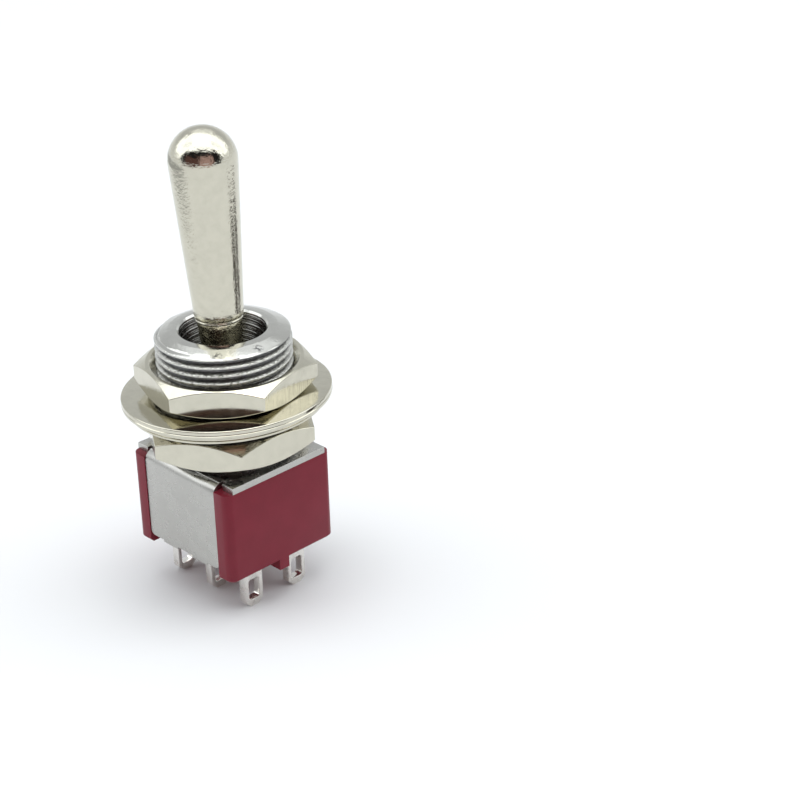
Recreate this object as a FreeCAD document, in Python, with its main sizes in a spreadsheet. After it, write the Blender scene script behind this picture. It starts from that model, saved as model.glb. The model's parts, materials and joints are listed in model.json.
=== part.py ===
# Bat-lever panel toggle switch, two poles with a centre rest position, M12 bushing.
# Millimetres and degrees. +Z runs up the bushing's axis, and the origin lies on that
# axis at the level of the six terminal tips. The three terminals of a pole lie along X.
import FreeCAD, Part
import os
import re
import Sketcher

# Driving dimensions, one cell each in the sheet.
DIMENSIONS = {
    # Terminals: flat lugs with an eyelet, two rows of three.
    "terminal_drop": 4.1,
    "terminal_pitch": 4.7,
    "row_spacing": 5.1,
    "blade_width": 2.0,
    "blade_thickness": 0.8,
    "blade_tip_width": 0.9,
    "blade_tip_rise": 0.5,
    "eyelet_width": 1.24,
    "eyelet_height": 2.05,
    "eyelet_corner": 0.3,
    "eyelet_margin": 0.68,
    "head_thickness": 0.5,
    "head_length": 1.5,
    # Case: a moulded box whose two end walls stand proud of its core.
    "case_height": 8.7,
    "case_corner": 0.8,
    "case_edge": 0.25,
    "end_wall": 1.1,
    "end_flange": 1.75,
    "base_raise": 0.7,
    "floor_thickness": 1.2,
    "blade_end_gap": 0.3,
    "side_wall": 0.6,
    "divider_thickness": 0.8,
    "divider_height": 1.2,
    "base_rib_width": 1.1,
    "base_rib_height": 0.85,
    # Frame: one folded sheet, a top plate with a leg down each side of the case.
    "sheet": 0.6,
    "bend_radius": 1.0,
    "leg_inset": 0.05,
    "leg_side_gap": 0.04,
    "leg_lift": 0.9,
    "leg_corner": 0.5,
    "plate_setback": 0.75,
    "relief_width": 0.4,
    "relief_depth": 0.5,
    "tab_width": 2.0,
    "tab_spacing": 4.0,
    "tab_reach": 1.1,
    # Bushing: turned body, threaded outside, staked under the plate.
    "thread_diameter": 12.0,
    "bushing_height": 11.5,
    "bushing_chamfer_width": 1.25,
    "bushing_chamfer_height": 0.45,
    "mouth_rim": 0.93,
    "throat_diameter": 5.5,
    "pivot_height": 5.4,
    "spigot_bore": 6.8,
    "spigot_bore_depth": 3.1,
    "spigot_wall": 0.65,
    "stake_lip": 0.3,
    "stake_height": 0.5,
    "keyway_width": 1.9,
    "keyway_depth": 0.62,
    # Hexagon nuts and washers.
    "nut_wall": 0.97,
    "nut_height": 2.6,
    "nut_face_inset": 0.1,
    "nut_chamfer_angle": 30.0,
    "nut_countersink": 0.57,
    "rear_nut_gap": 0.85,
    "front_nut_gap": 6.0,
    "rear_nut_turn": 27.4,
    "front_nut_turn": 43.8,
    "washer_tilt": 2.3,
    "flat_washer_width": 3.1,
    "flat_washer_thickness": 0.75,
    "lock_washer_thickness": 0.55,
    "lock_ring_width": 1.45,
    "lock_ring_gap": 0.3,
    "lock_washer_slip": 0.2,
    "lock_tooth_width": 2.0,
    "lock_tooth_foot": 0.5,
    "lock_tooth_root": 0.5,
    "lock_teeth": 10,
    # Lever: a turned bat above the pivot ball and a hollow shank below it.
    "lever_lean": 2.9,
    "lever_throw": 12.5,
    "tip_diameter": 5.97,
    "tip_height": 21.03,
    "bat_foot_diameter": 4.44,
    "bat_foot_height": 8.0,
    "bat_edge_height": 6.75,
    "bat_edge_round": 4.5,
    "neck_top_diameter": 3.96,
    "neck_step": 0.1,
    "neck_foot_diameter": 3.3,
    "ball_diameter": 6.2,
    "shank_diameter": 3.2,
    "shank_length": 6.9,
    "spring_bore": 2.1,
    "spring_bore_roof": 1.2,
    "pin_diameter": 1.2,
    "pin_length": 7.2,
    # Actuator: the sprung slider that the lever drags over the rockers.
    "stem_length": 3.1,
    "bar_top_gap": 0.6,
    "bar_height": 1.7,
    "bar_width": 2.2,
    "foot_thickness": 1.2,
    "foot_width": 1.8,
    "wire_diameter": 0.26,
    "spring_turns": 5,
    # Rockers and contacts.
    "rocker_throw": 7.0,
    "rocker_pivot_rise": 0.6,
    "rocker_width": 2.6,
    "rocker_thickness": 0.4,
    "rocker_end_gap": 0.35,
    "rocker_side_gap": 0.97,
    "dish_half_width": 2.9,
    "ear_thickness": 0.24,
    "ear_width": 1.2,
    "ear_drop": 0.42,
    "contact_inset": 0.05,
    "contact_diameter": 1.3,
    "moving_contact_height": 0.3,
    # Clearances.
    "running_clearance": 0.05,
    "press_clearance": 0.01,
    "sheet_clearance": 0.03,
    "thread_clearance": 0.03,
    "washer_clearance": 0.2,
    "stack_clearance": 0.01,
    "spring_clearance": 0.02,
    "foot_clearance": 0.08,
    "contact_clearance": 0.03,
}

# Levels and sizes that follow from the driving ones.
CORE_BOTTOM = "(terminal_drop + base_raise)"
FLOOR_TOP = f"({CORE_BOTTOM} + floor_thickness)"
CASE_TOP = "(terminal_drop + case_height)"
PLATE_TOP = f"({CASE_TOP} + sheet)"
CAVITY_LENGTH = "(2 * (terminal_pitch + blade_end_gap) + blade_thickness)"
CAVITY_WIDTH = "(row_spacing + rocker_width + 2 * rocker_side_gap)"
CASE_LENGTH = f"({CAVITY_LENGTH} + 2 * end_wall)"
CORE_HALF = f"({CAVITY_WIDTH} / 2 + side_wall)"
LEG_FACE = f"({CORE_HALF} + sheet_clearance + sheet)"
CASE_WIDTH = f"(2 * ({LEG_FACE} + leg_inset))"
LEG_WIDTH = f"({CASE_LENGTH} - 2 * end_flange - 2 * leg_side_gap)"
BUSHING_TOP = f"({PLATE_TOP} + bushing_height)"
PIVOT_LEVEL = f"({PLATE_TOP} + pivot_height)"
SEAT_RADIUS = "(ball_diameter / 2 + running_clearance)"
REAR_NUT_FOOT = f"({PLATE_TOP} + rear_nut_gap)"
FRONT_NUT_FOOT = f"({PLATE_TOP} + front_nut_gap)"
THREAD_BORE = "(thread_diameter / 2 + thread_clearance)"
NUT_FLATS = f"(2 * ({THREAD_BORE} + nut_wall))"
NUT_FACE_RADIUS = f"({NUT_FLATS} / 2 - nut_face_inset)"
MOUTH_RADIUS = "(thread_diameter / 2 - bushing_chamfer_width - mouth_rim)"
# The two washers lie loose and tilted between the nuts: up against the front nut at +X, and
# down on the rear nut, by a tooth, at -X. Their levels are those on the bushing's axis. The
# lock washer has also slipped a little off that axis.
NUT_FACE_RISE = f"({NUT_FACE_RADIUS} * tan(washer_tilt))"
FLAT_WASHER_TOP = f"({FRONT_NUT_FOOT} - {NUT_FACE_RISE} - stack_clearance)"
FLAT_WASHER_FOOT = f"({FLAT_WASHER_TOP} - flat_washer_thickness / cos(washer_tilt))"
LOCK_WASHER_FOOT = f"({FLAT_WASHER_FOOT} - lock_washer_thickness / cos(washer_tilt))"
REAR_NUT_TOP = f"({REAR_NUT_FOOT} + nut_height)"
LOCK_TOOTH_DROP = (
    f"(({LOCK_WASHER_FOOT} - {REAR_NUT_TOP} - stack_clearance) / cos(washer_tilt)"
    f" - {NUT_FACE_RISE})"
)
SPIGOT_RADIUS = "(spigot_bore / 2 + spigot_wall)"
BAR_TOP = "(-shank_length - bar_top_gap)"
BAR_FOOT = f"({BAR_TOP} - bar_height)"
STEM_TOP = f"({BAR_TOP} + bar_top_gap + stem_length)"
ROCKER_LEVEL = f"({FLOOR_TOP} + rocker_pivot_rise)"
ROCKER_ARM = f"({CAVITY_LENGTH} / 2 - rocker_end_gap)"
CONTACT_PLACE = f"({ROCKER_ARM} - contact_inset - contact_diameter / 2)"
CRADLE_RADIUS = "(blade_thickness / 2)"
FOOT_RADIUS = "(foot_thickness / 2)"
# The foot's centre above the rocker's pivot at mid throw, and its arm from the lever's pivot.
FOOT_RISE = f"({CRADLE_RADIUS} + rocker_thickness + foot_clearance + {FOOT_RADIUS})"
FOOT_ARM = f"({PIVOT_LEVEL} - {ROCKER_LEVEL} - {FOOT_RISE})"
# Where the foot's centre stands at full throw, seen from the turned rocker.
SWUNG_X = f"({FOOT_ARM} * sin(lever_throw))"
SWUNG_Z = f"({FOOT_RISE} + {FOOT_ARM} * (1 - cos(lever_throw)))"
PATH_X = f"({SWUNG_X} * cos(rocker_throw) - {SWUNG_Z} * sin(rocker_throw))"
PATH_Z = f"({SWUNG_X} * sin(rocker_throw) + {SWUNG_Z} * cos(rocker_throw) - {FOOT_RISE})"
PATH_RADIUS = f"(({PATH_X} ^ 2 + {PATH_Z} ^ 2) / (2 * {PATH_Z}))"
DISH_CENTRE = f"({FOOT_RISE} + {PATH_RADIUS})"
DISH_RADIUS = f"({PATH_RADIUS} + {FOOT_RADIUS} + foot_clearance)"
ARM_TOP = f"({DISH_CENTRE} - sqrt({DISH_RADIUS} ^ 2 - dish_half_width ^ 2))"
ARM_FOOT = f"({ARM_TOP} - rocker_thickness)"
BUTTON_FOOT = f"({ARM_FOOT} - moving_contact_height)"
# Top of a fixed contact: just under the moving contact's outer edge at full throw.
FIXED_CONTACT_TOP = (
    f"({ROCKER_LEVEL} + {BUTTON_FOOT} * cos(rocker_throw)"
    f" - ({CONTACT_PLACE} + contact_diameter / 2) * sin(rocker_throw) - contact_clearance)"
)

HEXAGON_TURNS = (0, 60, 120, 180, 240, 300)
UP = FreeCAD.Vector(0, 0, 1)
ALONG_Y = FreeCAD.Vector(0, 1, 0)

doc = FreeCAD.newDocument("toggle_switch")
sheet = doc.addObject("Spreadsheet::Sheet", "dims")
for row, (alias, number) in enumerate(DIMENSIONS.items(), start=1):
    sheet.set(f"A{row}", alias)
    sheet.set(f"B{row}", str(number))
    sheet.setAlias(f"B{row}", alias)
doc.recompute()

parts = []


def bound(text):
    """Write the sheet's name before each dimension that an expression uses."""
    return re.sub(r"[a-z][a-z_]*", lambda word: _in_sheet(word[0]), text)


def _in_sheet(word):
    return "dims." + word if word in DIMENSIONS else word


def size(text):
    """The present value of an expression over the sheet's dimensions."""
    return float(sheet.evalExpression(bound(text)))


def drive(thing, **sizes):
    """Bind properties of an object to expressions; a double underscore stands for a dot."""
    for name, text in sizes.items():
        thing.setExpression(name.replace("__", "."), bound(text))


def place(thing, x="0", y="0", z="0", axis=UP, angle="0"):
    """Set an object down in the part's frame, turned about its own origin."""
    thing.Placement = FreeCAD.Placement(
        FreeCAD.Vector(size(x), size(y), size(z)), FreeCAD.Rotation(axis, size(angle)))
    drive(thing, Placement__Base__x=x, Placement__Base__y=y, Placement__Base__z=z)
    if angle != "0":
        drive(thing, Placement__Rotation__Angle=angle)


def register(thing, label):
    """Name a finished sub-part and list it for writing."""
    thing.Label = label
    parts.append(thing)
    return thing


def new_body(label):
    return register(doc.addObject("PartDesign::Body", "body_" + label), label)


def new_sketch(body, plane, offset="0"):
    """A sketch on one of the body's own origin planes, shifted along its normal."""
    sketch = body.newObject("Sketcher::SketchObject", "sketch")
    planes = {feature.Role: feature for feature in body.Origin.OriginFeatures}
    sketch.AttachmentSupport = [(planes[plane], "")]
    sketch.MapMode = "FlatFace"
    if offset != "0":
        drive(sketch, AttachmentOffset__Base__z=offset)
    return sketch


def pin_point(sketch, geometry, which, x, y):
    """Hold a point of a sketch at its distances from the origin; None leaves one free."""
    for kind, text in (("DistanceX", x), ("DistanceY", y)):
        if text is None:
            continue
        constraint = Sketcher.Constraint(kind, -1, 1, geometry, which, size(text))
        name = f"at_{sketch.addConstraint(constraint)}"
        sketch.renameConstraint(sketch.ConstraintCount - 1, name)
        sketch.setExpression("Constraints." + name, bound(text))


def set_radius(sketch, geometry, text):
    name = f"radius_{sketch.addConstraint(Sketcher.Constraint('Radius', geometry, size(text)))}"
    sketch.renameConstraint(sketch.ConstraintCount - 1, name)
    sketch.setExpression("Constraints." + name, bound(text))


class Free(str):
    """A coordinate that follows from an arc; its text is only where the solver starts."""


def outline(sketch, points, arcs=None):
    """Draw a closed outline through the points.

    An arc runs from the point with its number to the next one, round a centre (x, y)
    with a radius, anticlockwise unless its last item is "back".
    """
    arcs = arcs or {}
    first = sketch.GeometryCount
    count = len(points)
    spots = [FreeCAD.Vector(size(x), size(y), 0) for x, y in points]
    ends = []
    for number, start in enumerate(spots):
        finish = spots[(number + 1) % count]
        if number in arcs:
            x, y, radius, way = arcs[number]
            centre = FreeCAD.Vector(size(x), size(y), 0)
            circle = Part.Circle(centre, UP, size(radius))
            pair = (finish, start) if way == "back" else (start, finish)
            angles = [circle.parameter(spot) for spot in pair]
            sketch.addGeometry(Part.ArcOfCircle(circle, *angles))
            ends.append((2, 1) if way == "back" else (1, 2))
        else:
            sketch.addGeometry(Part.LineSegment(start, finish))
            ends.append((1, 2))
    for number in range(count):
        after = (number + 1) % count
        sketch.addConstraint(Sketcher.Constraint(
            "Coincident", first + number, ends[number][1], first + after, ends[after][0]))
    for number, (x, y) in enumerate(points):
        pin_point(sketch, first + number, ends[number][0],
                  None if isinstance(x, Free) else x, None if isinstance(y, Free) else y)
    for number, (x, y, radius, way) in arcs.items():
        pin_point(sketch, first + number, 3, x, y)
        set_radius(sketch, first + number, radius)


def rectangle(sketch, low_x, low_y, high_x, high_y):
    outline(sketch, [(low_x, low_y), (high_x, low_y), (high_x, high_y), (low_x, high_y)])


def circle(sketch, diameter, x="0", y="0"):
    number = sketch.addGeometry(
        Part.Circle(FreeCAD.Vector(size(x), size(y), 0), UP, size(diameter) / 2))
    pin_point(sketch, number, 3, x, y)
    set_radius(sketch, number, f"({diameter}) / 2")


def pad(body, sketch, length, symmetric=False, reverse=False):
    feature = body.newObject("PartDesign::Pad", "pad")
    feature.Profile = sketch
    drive(feature, Length=length)
    feature.Reversed = reverse
    if symmetric:
        feature.SideType = "Symmetric"
    doc.recompute()
    return feature


def removed(body, feature, before):
    """Rebuild, and make sure that a cut did take something away."""
    doc.recompute()
    if feature.Shape.Volume > before - 1e-6:
        raise RuntimeError(f"{body.Label}: {feature.Name} cuts nothing")
    return feature


def pocket(body, sketch, length=None, symmetric=False, reverse=True):
    """Cut a sketch along its plane's normal, or right through where no length is given."""
    before = body.Tip.Shape.Volume
    feature = body.newObject("PartDesign::Pocket", "pocket")
    feature.Profile = sketch
    if length is None:
        feature.Type = "ThroughAll"
    else:
        drive(feature, Length=length)
    feature.Reversed = reverse
    if symmetric:
        feature.SideType = "Symmetric"
    return removed(body, feature, before)


def revolve(body, sketch):
    feature = body.newObject("PartDesign::Revolution", "revolution")
    feature.Profile = sketch
    feature.ReferenceAxis = (sketch, ["V_Axis"])
    feature.Angle = 360
    doc.recompute()
    return feature


def groove(body, sketch):
    before = body.Tip.Shape.Volume
    feature = body.newObject("PartDesign::Groove", "groove")
    feature.Profile = sketch
    feature.ReferenceAxis = (sketch, ["V_Axis"])
    feature.Angle = 360
    return removed(body, feature, before)


def origin_feature(body, role):
    return next(feature for feature in body.Origin.OriginFeatures if feature.Role == role)


def mirror(body, feature, plane):
    """Repeat a feature on the other side of one of the body's origin planes."""
    copy = body.newObject("PartDesign::Mirrored", "mirrored")
    copy.Originals = [feature]
    copy.MirrorPlane = (origin_feature(body, plane), [""])
    body.Tip = copy
    doc.recompute()
    return copy


def near(one, two):
    return abs(one - two) < 1e-4


def upright(edge):
    box = edge.BoundBox
    return near(box.XLength, 0) and near(box.YLength, 0)


def at_level(edge, level):
    return near(edge.BoundBox.ZMin, level) and near(edge.BoundBox.ZMax, level)


def dress_edges(body, kind, test, **sizes):
    """Fillet or chamfer the edges of the body's last feature that pass a test."""
    tip = body.Tip
    names = [f"Edge{number}" for number, edge in enumerate(tip.Shape.Edges, start=1) if test(edge)]
    feature = body.newObject("PartDesign::" + kind, "edge")
    feature.Base = (tip, names)
    drive(feature, **sizes)
    doc.recompute()


def round_edges(body, test, radius):
    dress_edges(body, "Fillet", test, Radius=radius)


def make_case():
    body = new_body("case")
    half_length, half_width = f"{CASE_LENGTH} / 2", f"{CASE_WIDTH} / 2"
    block = new_sketch(body, "XY_Plane", "terminal_drop")
    rectangle(block, f"-{half_length}", f"-{half_width}", half_length, half_width)
    pad(body, block, "case_height")
    round_edges(body, upright, "case_corner")
    foot_level = size("terminal_drop")
    dress_edges(body, "Chamfer", lambda edge: at_level(edge, foot_level), Size="case_edge")

    # The core between the end walls is narrower by the frame's legs, and its base is higher.
    recess_half = f"({half_length} - end_flange)"
    sides = new_sketch(body, "XY_Plane", "terminal_drop")
    for near_edge, far_edge in ((CORE_HALF, CASE_WIDTH), (f"-{CASE_WIDTH}", f"-{CORE_HALF}")):
        rectangle(sides, f"-{recess_half}", near_edge, recess_half, far_edge)
    pocket(body, sides, "case_height")
    top_level = size(CASE_TOP)
    round_edges(body, lambda edge: at_level(edge, top_level) and near(edge.BoundBox.YLength, 0)
                and near(abs(edge.BoundBox.YMax), size(CORE_HALF)), "bend_radius - sheet")
    base = new_sketch(body, "XY_Plane", "terminal_drop")
    rectangle(base, f"-{recess_half}", f"-{CASE_WIDTH}", recess_half, CASE_WIDTH)
    pocket(body, base, "base_raise")
    rib = new_sketch(body, "XY_Plane", "terminal_drop - base_rib_height")
    rectangle(rib, f"-{half_length}", "-base_rib_width / 2", half_length, "base_rib_width / 2")
    pad(body, rib, "base_rib_height + base_raise")

    # The contact chamber, parted between the poles by a low wall.
    chamber = new_sketch(body, "XY_Plane", FLOOR_TOP)
    rectangle(chamber, f"-{CAVITY_LENGTH} / 2", f"-{CAVITY_WIDTH} / 2",
              f"{CAVITY_LENGTH} / 2", f"{CAVITY_WIDTH} / 2")
    pocket(body, chamber, f"{CASE_TOP} - {FLOOR_TOP}")
    divider = new_sketch(body, "XY_Plane", FLOOR_TOP)
    rectangle(divider, f"-{CAVITY_LENGTH} / 2", "-divider_thickness / 2",
              f"{CAVITY_LENGTH} / 2", "divider_thickness / 2")
    pad(body, divider, "divider_height")

    # Slots for the six blades, and notches for the frame's tabs.
    slots = new_sketch(body, "XY_Plane", "terminal_drop")
    slot_x = "(blade_thickness / 2 + press_clearance)"
    slot_y = "(blade_width / 2 + press_clearance)"
    for column in (-1, 0, 1):
        for side in (-1, 1):
            x, y = f"{column} * terminal_pitch", f"{side} * row_spacing / 2"
            rectangle(slots, f"{x} - {slot_x}", f"{y} - {slot_y}",
                      f"{x} + {slot_x}", f"{y} + {slot_y}")
    pocket(body, slots, "base_raise + floor_thickness")
    notches = new_sketch(body, "XY_Plane", CORE_BOTTOM)
    for x in ("-tab_spacing / 2", "tab_spacing / 2"):
        for low, high in (
                (f"{LEG_FACE} - tab_reach - sheet_clearance", half_width),
                (f"-{half_width}", f"-{LEG_FACE} + tab_reach + sheet_clearance")):
            rectangle(notches, f"{x} - tab_width / 2 - sheet_clearance", low,
                      f"{x} + tab_width / 2 + sheet_clearance", high)
    pocket(body, notches, "sheet + sheet_clearance")


def make_frame():
    body = new_body("frame")
    channel = new_sketch(body, "YZ_Plane")
    leg_foot = "(terminal_drop + leg_lift)"
    inner = f"({LEG_FACE} - sheet)"
    bend_level, bend_side = f"({PLATE_TOP} - bend_radius)", f"({LEG_FACE} - bend_radius)"
    inner_radius = "(bend_radius - sheet)"
    outline(channel, [
        (f"-{LEG_FACE}", leg_foot),
        (f"-{inner}", leg_foot),
        (Free(f"-{inner}"), bend_level),
        (f"-{bend_side}", Free(CASE_TOP)),
        (bend_side, Free(CASE_TOP)),
        (Free(inner), bend_level),
        (inner, leg_foot),
        (LEG_FACE, leg_foot),
        (Free(LEG_FACE), bend_level),
        (bend_side, Free(PLATE_TOP)),
        (f"-{bend_side}", Free(PLATE_TOP)),
        (Free(f"-{LEG_FACE}"), bend_level),
    ], {
        2: (f"-{bend_side}", bend_level, inner_radius, "back"),
        4: (bend_side, bend_level, inner_radius, "back"),
        8: (bend_side, bend_level, "bend_radius", ""),
        10: (f"-{bend_side}", bend_level, "bend_radius", ""),
    })
    pad(body, channel, LEG_WIDTH, symmetric=True)
    foot_level = size(leg_foot)
    round_edges(body, lambda edge: at_level(edge, foot_level) and near(edge.BoundBox.XLength, 0),
                "leg_corner")

    # The plate's two ends reach over the case's end walls, short of its sides.
    ends = new_sketch(body, "XY_Plane", CASE_TOP)
    plate_half = f"({CASE_WIDTH} / 2 - plate_setback)"
    rectangle(ends, f"-{CASE_LENGTH} / 2", f"-{plate_half}", f"{CASE_LENGTH} / 2", plate_half)
    pad(body, ends, "sheet")
    reliefs = new_sketch(body, "XY_Plane", CASE_TOP)
    inside, outside = f"({LEG_WIDTH} / 2)", f"({LEG_WIDTH} / 2 + relief_width)"
    deep = f"({plate_half} - relief_depth)"
    for low_x, high_x in ((inside, outside), (f"-{outside}", f"-{inside}")):
        for low_y, high_y in ((deep, CASE_WIDTH), (f"-{CASE_WIDTH}", f"-{deep}")):
            rectangle(reliefs, low_x, low_y, high_x, high_y)
    pocket(body, reliefs, "sheet")
    hole = new_sketch(body, "XY_Plane", CASE_TOP)
    circle(hole, f"2 * ({SPIGOT_RADIUS} + press_clearance)")
    pocket(body, hole, "sheet")

    # Four tabs folded in under the core hold the case in the frame.
    tabs = new_sketch(body, "XY_Plane", CORE_BOTTOM)
    for x in ("-tab_spacing / 2", "tab_spacing / 2"):
        for low, high in ((f"{LEG_FACE} - tab_reach", LEG_FACE),
                          (f"-{LEG_FACE}", f"-{LEG_FACE} + tab_reach")):
            rectangle(tabs, f"{x} - tab_width / 2", low, f"{x} + tab_width / 2", high)
    pad(body, tabs, "sheet")


def make_bushing():
    body = new_body("bushing")
    half = new_sketch(body, "XZ_Plane")
    stake_foot, stake = f"({CASE_TOP} - stake_height)", f"({SPIGOT_RADIUS} + stake_lip)"
    bore_top = f"({PLATE_TOP} + spigot_bore_depth)"
    throat_level = f"({PIVOT_LEVEL} + sqrt({SEAT_RADIUS} ^ 2 - (throat_diameter / 2) ^ 2))"
    outline(half, [
        ("spigot_bore / 2", stake_foot),
        (stake, stake_foot),
        (stake, CASE_TOP),
        (SPIGOT_RADIUS, CASE_TOP),
        (SPIGOT_RADIUS, PLATE_TOP),
        ("thread_diameter / 2", PLATE_TOP),
        ("thread_diameter / 2", f"{BUSHING_TOP} - bushing_chamfer_height"),
        ("thread_diameter / 2 - bushing_chamfer_width", BUSHING_TOP),
        (MOUTH_RADIUS, BUSHING_TOP),
        ("throat_diameter / 2", Free(throat_level)),
        (Free(SEAT_RADIUS), PIVOT_LEVEL),
        (SEAT_RADIUS, bore_top),
        ("spigot_bore / 2", bore_top),
    ], {9: ("0", PIVOT_LEVEL, SEAT_RADIUS, "back")})
    revolve(body, half)

    # Slots inside the bore, open below, guide the ends of the pivot pin.
    guide = new_sketch(body, "XZ_Plane")
    slot_half = "(pin_diameter / 2 + running_clearance)"
    outline(guide, [
        (f"-{slot_half}", f"{stake_foot} - sheet"),
        (slot_half, f"{stake_foot} - sheet"),
        (Free(slot_half), PIVOT_LEVEL),
        (Free(f"-{slot_half}"), PIVOT_LEVEL),
    ], {2: ("0", PIVOT_LEVEL, slot_half, "")})
    pocket(body, guide, "pin_length + 4 * running_clearance", symmetric=True)
    keyway = new_sketch(body, "XY_Plane", PLATE_TOP)
    rectangle(keyway, "-thread_diameter", "-keyway_width / 2",
              "keyway_depth - thread_diameter / 2", "keyway_width / 2")
    pocket(body, keyway, "bushing_height")


def make_nut(label, level, set_at):
    """A hexagon nut with both faces chamfered and both ends of its bore countersunk."""
    body = new_body(label)
    hexagon = new_sketch(body, "XY_Plane")
    outline(hexagon, [(f"{NUT_FLATS} / sqrt(3) * cos({turn})", f"{NUT_FLATS} / sqrt(3) * sin({turn})")
                      for turn in HEXAGON_TURNS])
    pad(body, hexagon, "nut_height")
    bore = new_sketch(body, "XY_Plane")
    circle(bore, f"2 * {THREAD_BORE}")
    pocket(body, bore)
    turned = new_sketch(body, "XZ_Plane")
    slope = f"({NUT_FLATS} - {NUT_FACE_RADIUS}) * tan(nut_chamfer_angle)"
    outline(turned, [(NUT_FACE_RADIUS, "nut_height"), (NUT_FLATS, f"nut_height - {slope}"),
                     (NUT_FLATS, "nut_height")])
    outline(turned, [(NUT_FACE_RADIUS, "0"), (NUT_FLATS, "0"), (NUT_FLATS, slope)])
    sink, inside = f"({THREAD_BORE} + nut_countersink)", f"({THREAD_BORE} / 2)"
    depth = f"({sink} - {inside})"
    outline(turned, [(sink, "nut_height"), (inside, "nut_height"),
                     (inside, f"nut_height - {depth}")])
    outline(turned, [(sink, "0"), (inside, depth), (inside, "0")])
    groove(body, turned)
    place(body, z=level, angle=set_at)


def make_flat_washer():
    body = new_body("flat_washer")
    ring = new_sketch(body, "XY_Plane")
    bore = "(thread_diameter + 2 * washer_clearance)"
    circle(ring, bore)
    circle(ring, f"{bore} + 2 * flat_washer_width")
    pad(body, ring, "flat_washer_thickness")
    place(body, z=FLAT_WASHER_FOOT, axis=ALONG_Y, angle="-washer_tilt")


def make_lock_washer():
    """A thin ring whose inner teeth are bent down towards the rear nut."""
    body = new_body("lock_washer")
    ring = new_sketch(body, "XY_Plane")
    root, tip_reach = f"({NUT_FACE_RADIUS} + lock_ring_gap)", f"({NUT_FACE_RADIUS} - lock_tooth_foot)"
    circle(ring, f"2 * {root}")
    circle(ring, f"2 * ({root} + lock_ring_width)")
    pad(body, ring, "lock_washer_thickness")
    tooth = new_sketch(body, "XZ_Plane")
    outline(tooth, [
        (f"{root} + lock_tooth_root", "lock_washer_thickness"),
        (root, "lock_washer_thickness"),
        (tip_reach, f"lock_washer_thickness - {LOCK_TOOTH_DROP}"),
        (tip_reach, f"-{LOCK_TOOTH_DROP}"),
        (f"{tip_reach} + lock_tooth_foot", f"-{LOCK_TOOTH_DROP}"),
        (f"{root} + lock_tooth_root / 2", "0"),
        (f"{root} + lock_tooth_root", "0"),
    ])
    one_tooth = pad(body, tooth, "lock_tooth_width", symmetric=True)
    teeth = body.newObject("PartDesign::PolarPattern", "teeth")
    teeth.Originals = [one_tooth]
    teeth.Axis = (origin_feature(body, "Z_Axis"), [""])
    teeth.Angle = 360
    drive(teeth, Occurrences="lock_teeth")
    body.Tip = teeth
    doc.recompute()
    place(body, x="lock_washer_slip", y="-lock_washer_slip", axis=ALONG_Y, angle="-washer_tilt",
          z=f"{LOCK_WASHER_FOOT} + lock_washer_slip * tan(washer_tilt)")


def place_on_lever(thing):
    """Put a piece that is drawn round the lever's pivot at the pivot, leaned with the lever."""
    place(thing, z=PIVOT_LEVEL, axis=ALONG_Y, angle="-lever_lean")


def make_lever():
    body = new_body("lever")
    half = new_sketch(body, "XZ_Plane")
    ball, shank, neck = "(ball_diameter / 2)", "(shank_diameter / 2)", "(neck_foot_diameter / 2)"
    bat_foot = "(bat_foot_diameter / 2)"
    edge_fall = "(bat_foot_height - bat_edge_height)"
    edge_radius = f"({bat_foot} - bat_edge_round + sqrt(bat_edge_round ^ 2 - {edge_fall} ^ 2))"
    outline(half, [
        ("0", "-shank_length"),
        (shank, "-shank_length"),
        (shank, f"-sqrt({ball} ^ 2 - {shank} ^ 2)"),
        (Free(ball), "0"),
        (neck, Free(f"sqrt({ball} ^ 2 - {neck} ^ 2)")),
        ("neck_top_diameter / 2", "bat_edge_height - neck_step"),
        (Free(edge_radius), "bat_edge_height"),
        (Free(bat_foot), "bat_foot_height"),
        (Free("tip_diameter / 2"), "tip_height"),
        ("0", Free("tip_height + tip_diameter / 2")),
    ], {
        3: ("0", "0", ball, ""),
        6: (f"{bat_foot} - bat_edge_round", "bat_foot_height", "bat_edge_round", ""),
        8: ("0", "tip_height", "tip_diameter / 2", ""),
    })
    revolve(body, half)
    bore = new_sketch(body, "XY_Plane", "-shank_length")
    circle(bore, "spring_bore")
    pocket(body, bore, "shank_length - spring_bore_roof")
    cross_hole = new_sketch(body, "XZ_Plane")
    circle(cross_hole, "pin_diameter + 2 * press_clearance")
    pocket(body, cross_hole, "ball_diameter", symmetric=True)
    place_on_lever(body)


def make_pivot_pin():
    body = new_body("pivot_pin")
    section = new_sketch(body, "XZ_Plane")
    circle(section, "pin_diameter")
    pad(body, section, "pin_length", symmetric=True)
    place_on_lever(body)


def make_actuator():
    body = new_body("actuator")
    bar = new_sketch(body, "XZ_Plane")
    rectangle(bar, "-bar_width / 2", BAR_FOOT, "bar_width / 2", BAR_TOP)
    pad(body, bar, "row_spacing + rocker_width", symmetric=True)
    stem = new_sketch(body, "XY_Plane", BAR_TOP)
    circle(stem, "spring_bore - 2 * running_clearance")
    pad(body, stem, f"{STEM_TOP} - {BAR_TOP}")
    foot = new_sketch(body, "XZ_Plane", "-(row_spacing + foot_width) / 2")
    outline(foot, [
        (Free(f"-{FOOT_RADIUS}"), f"-{FOOT_ARM}"),
        (Free(FOOT_RADIUS), f"-{FOOT_ARM}"),
        (FOOT_RADIUS, f"{BAR_FOOT} + bar_height / 2"),
        (f"-{FOOT_RADIUS}", f"{BAR_FOOT} + bar_height / 2"),
    ], {0: ("0", f"-{FOOT_ARM}", FOOT_RADIUS, "")})
    mirror(body, pad(body, foot, "foot_width"), "XZ_Plane")
    place_on_lever(body)


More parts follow.
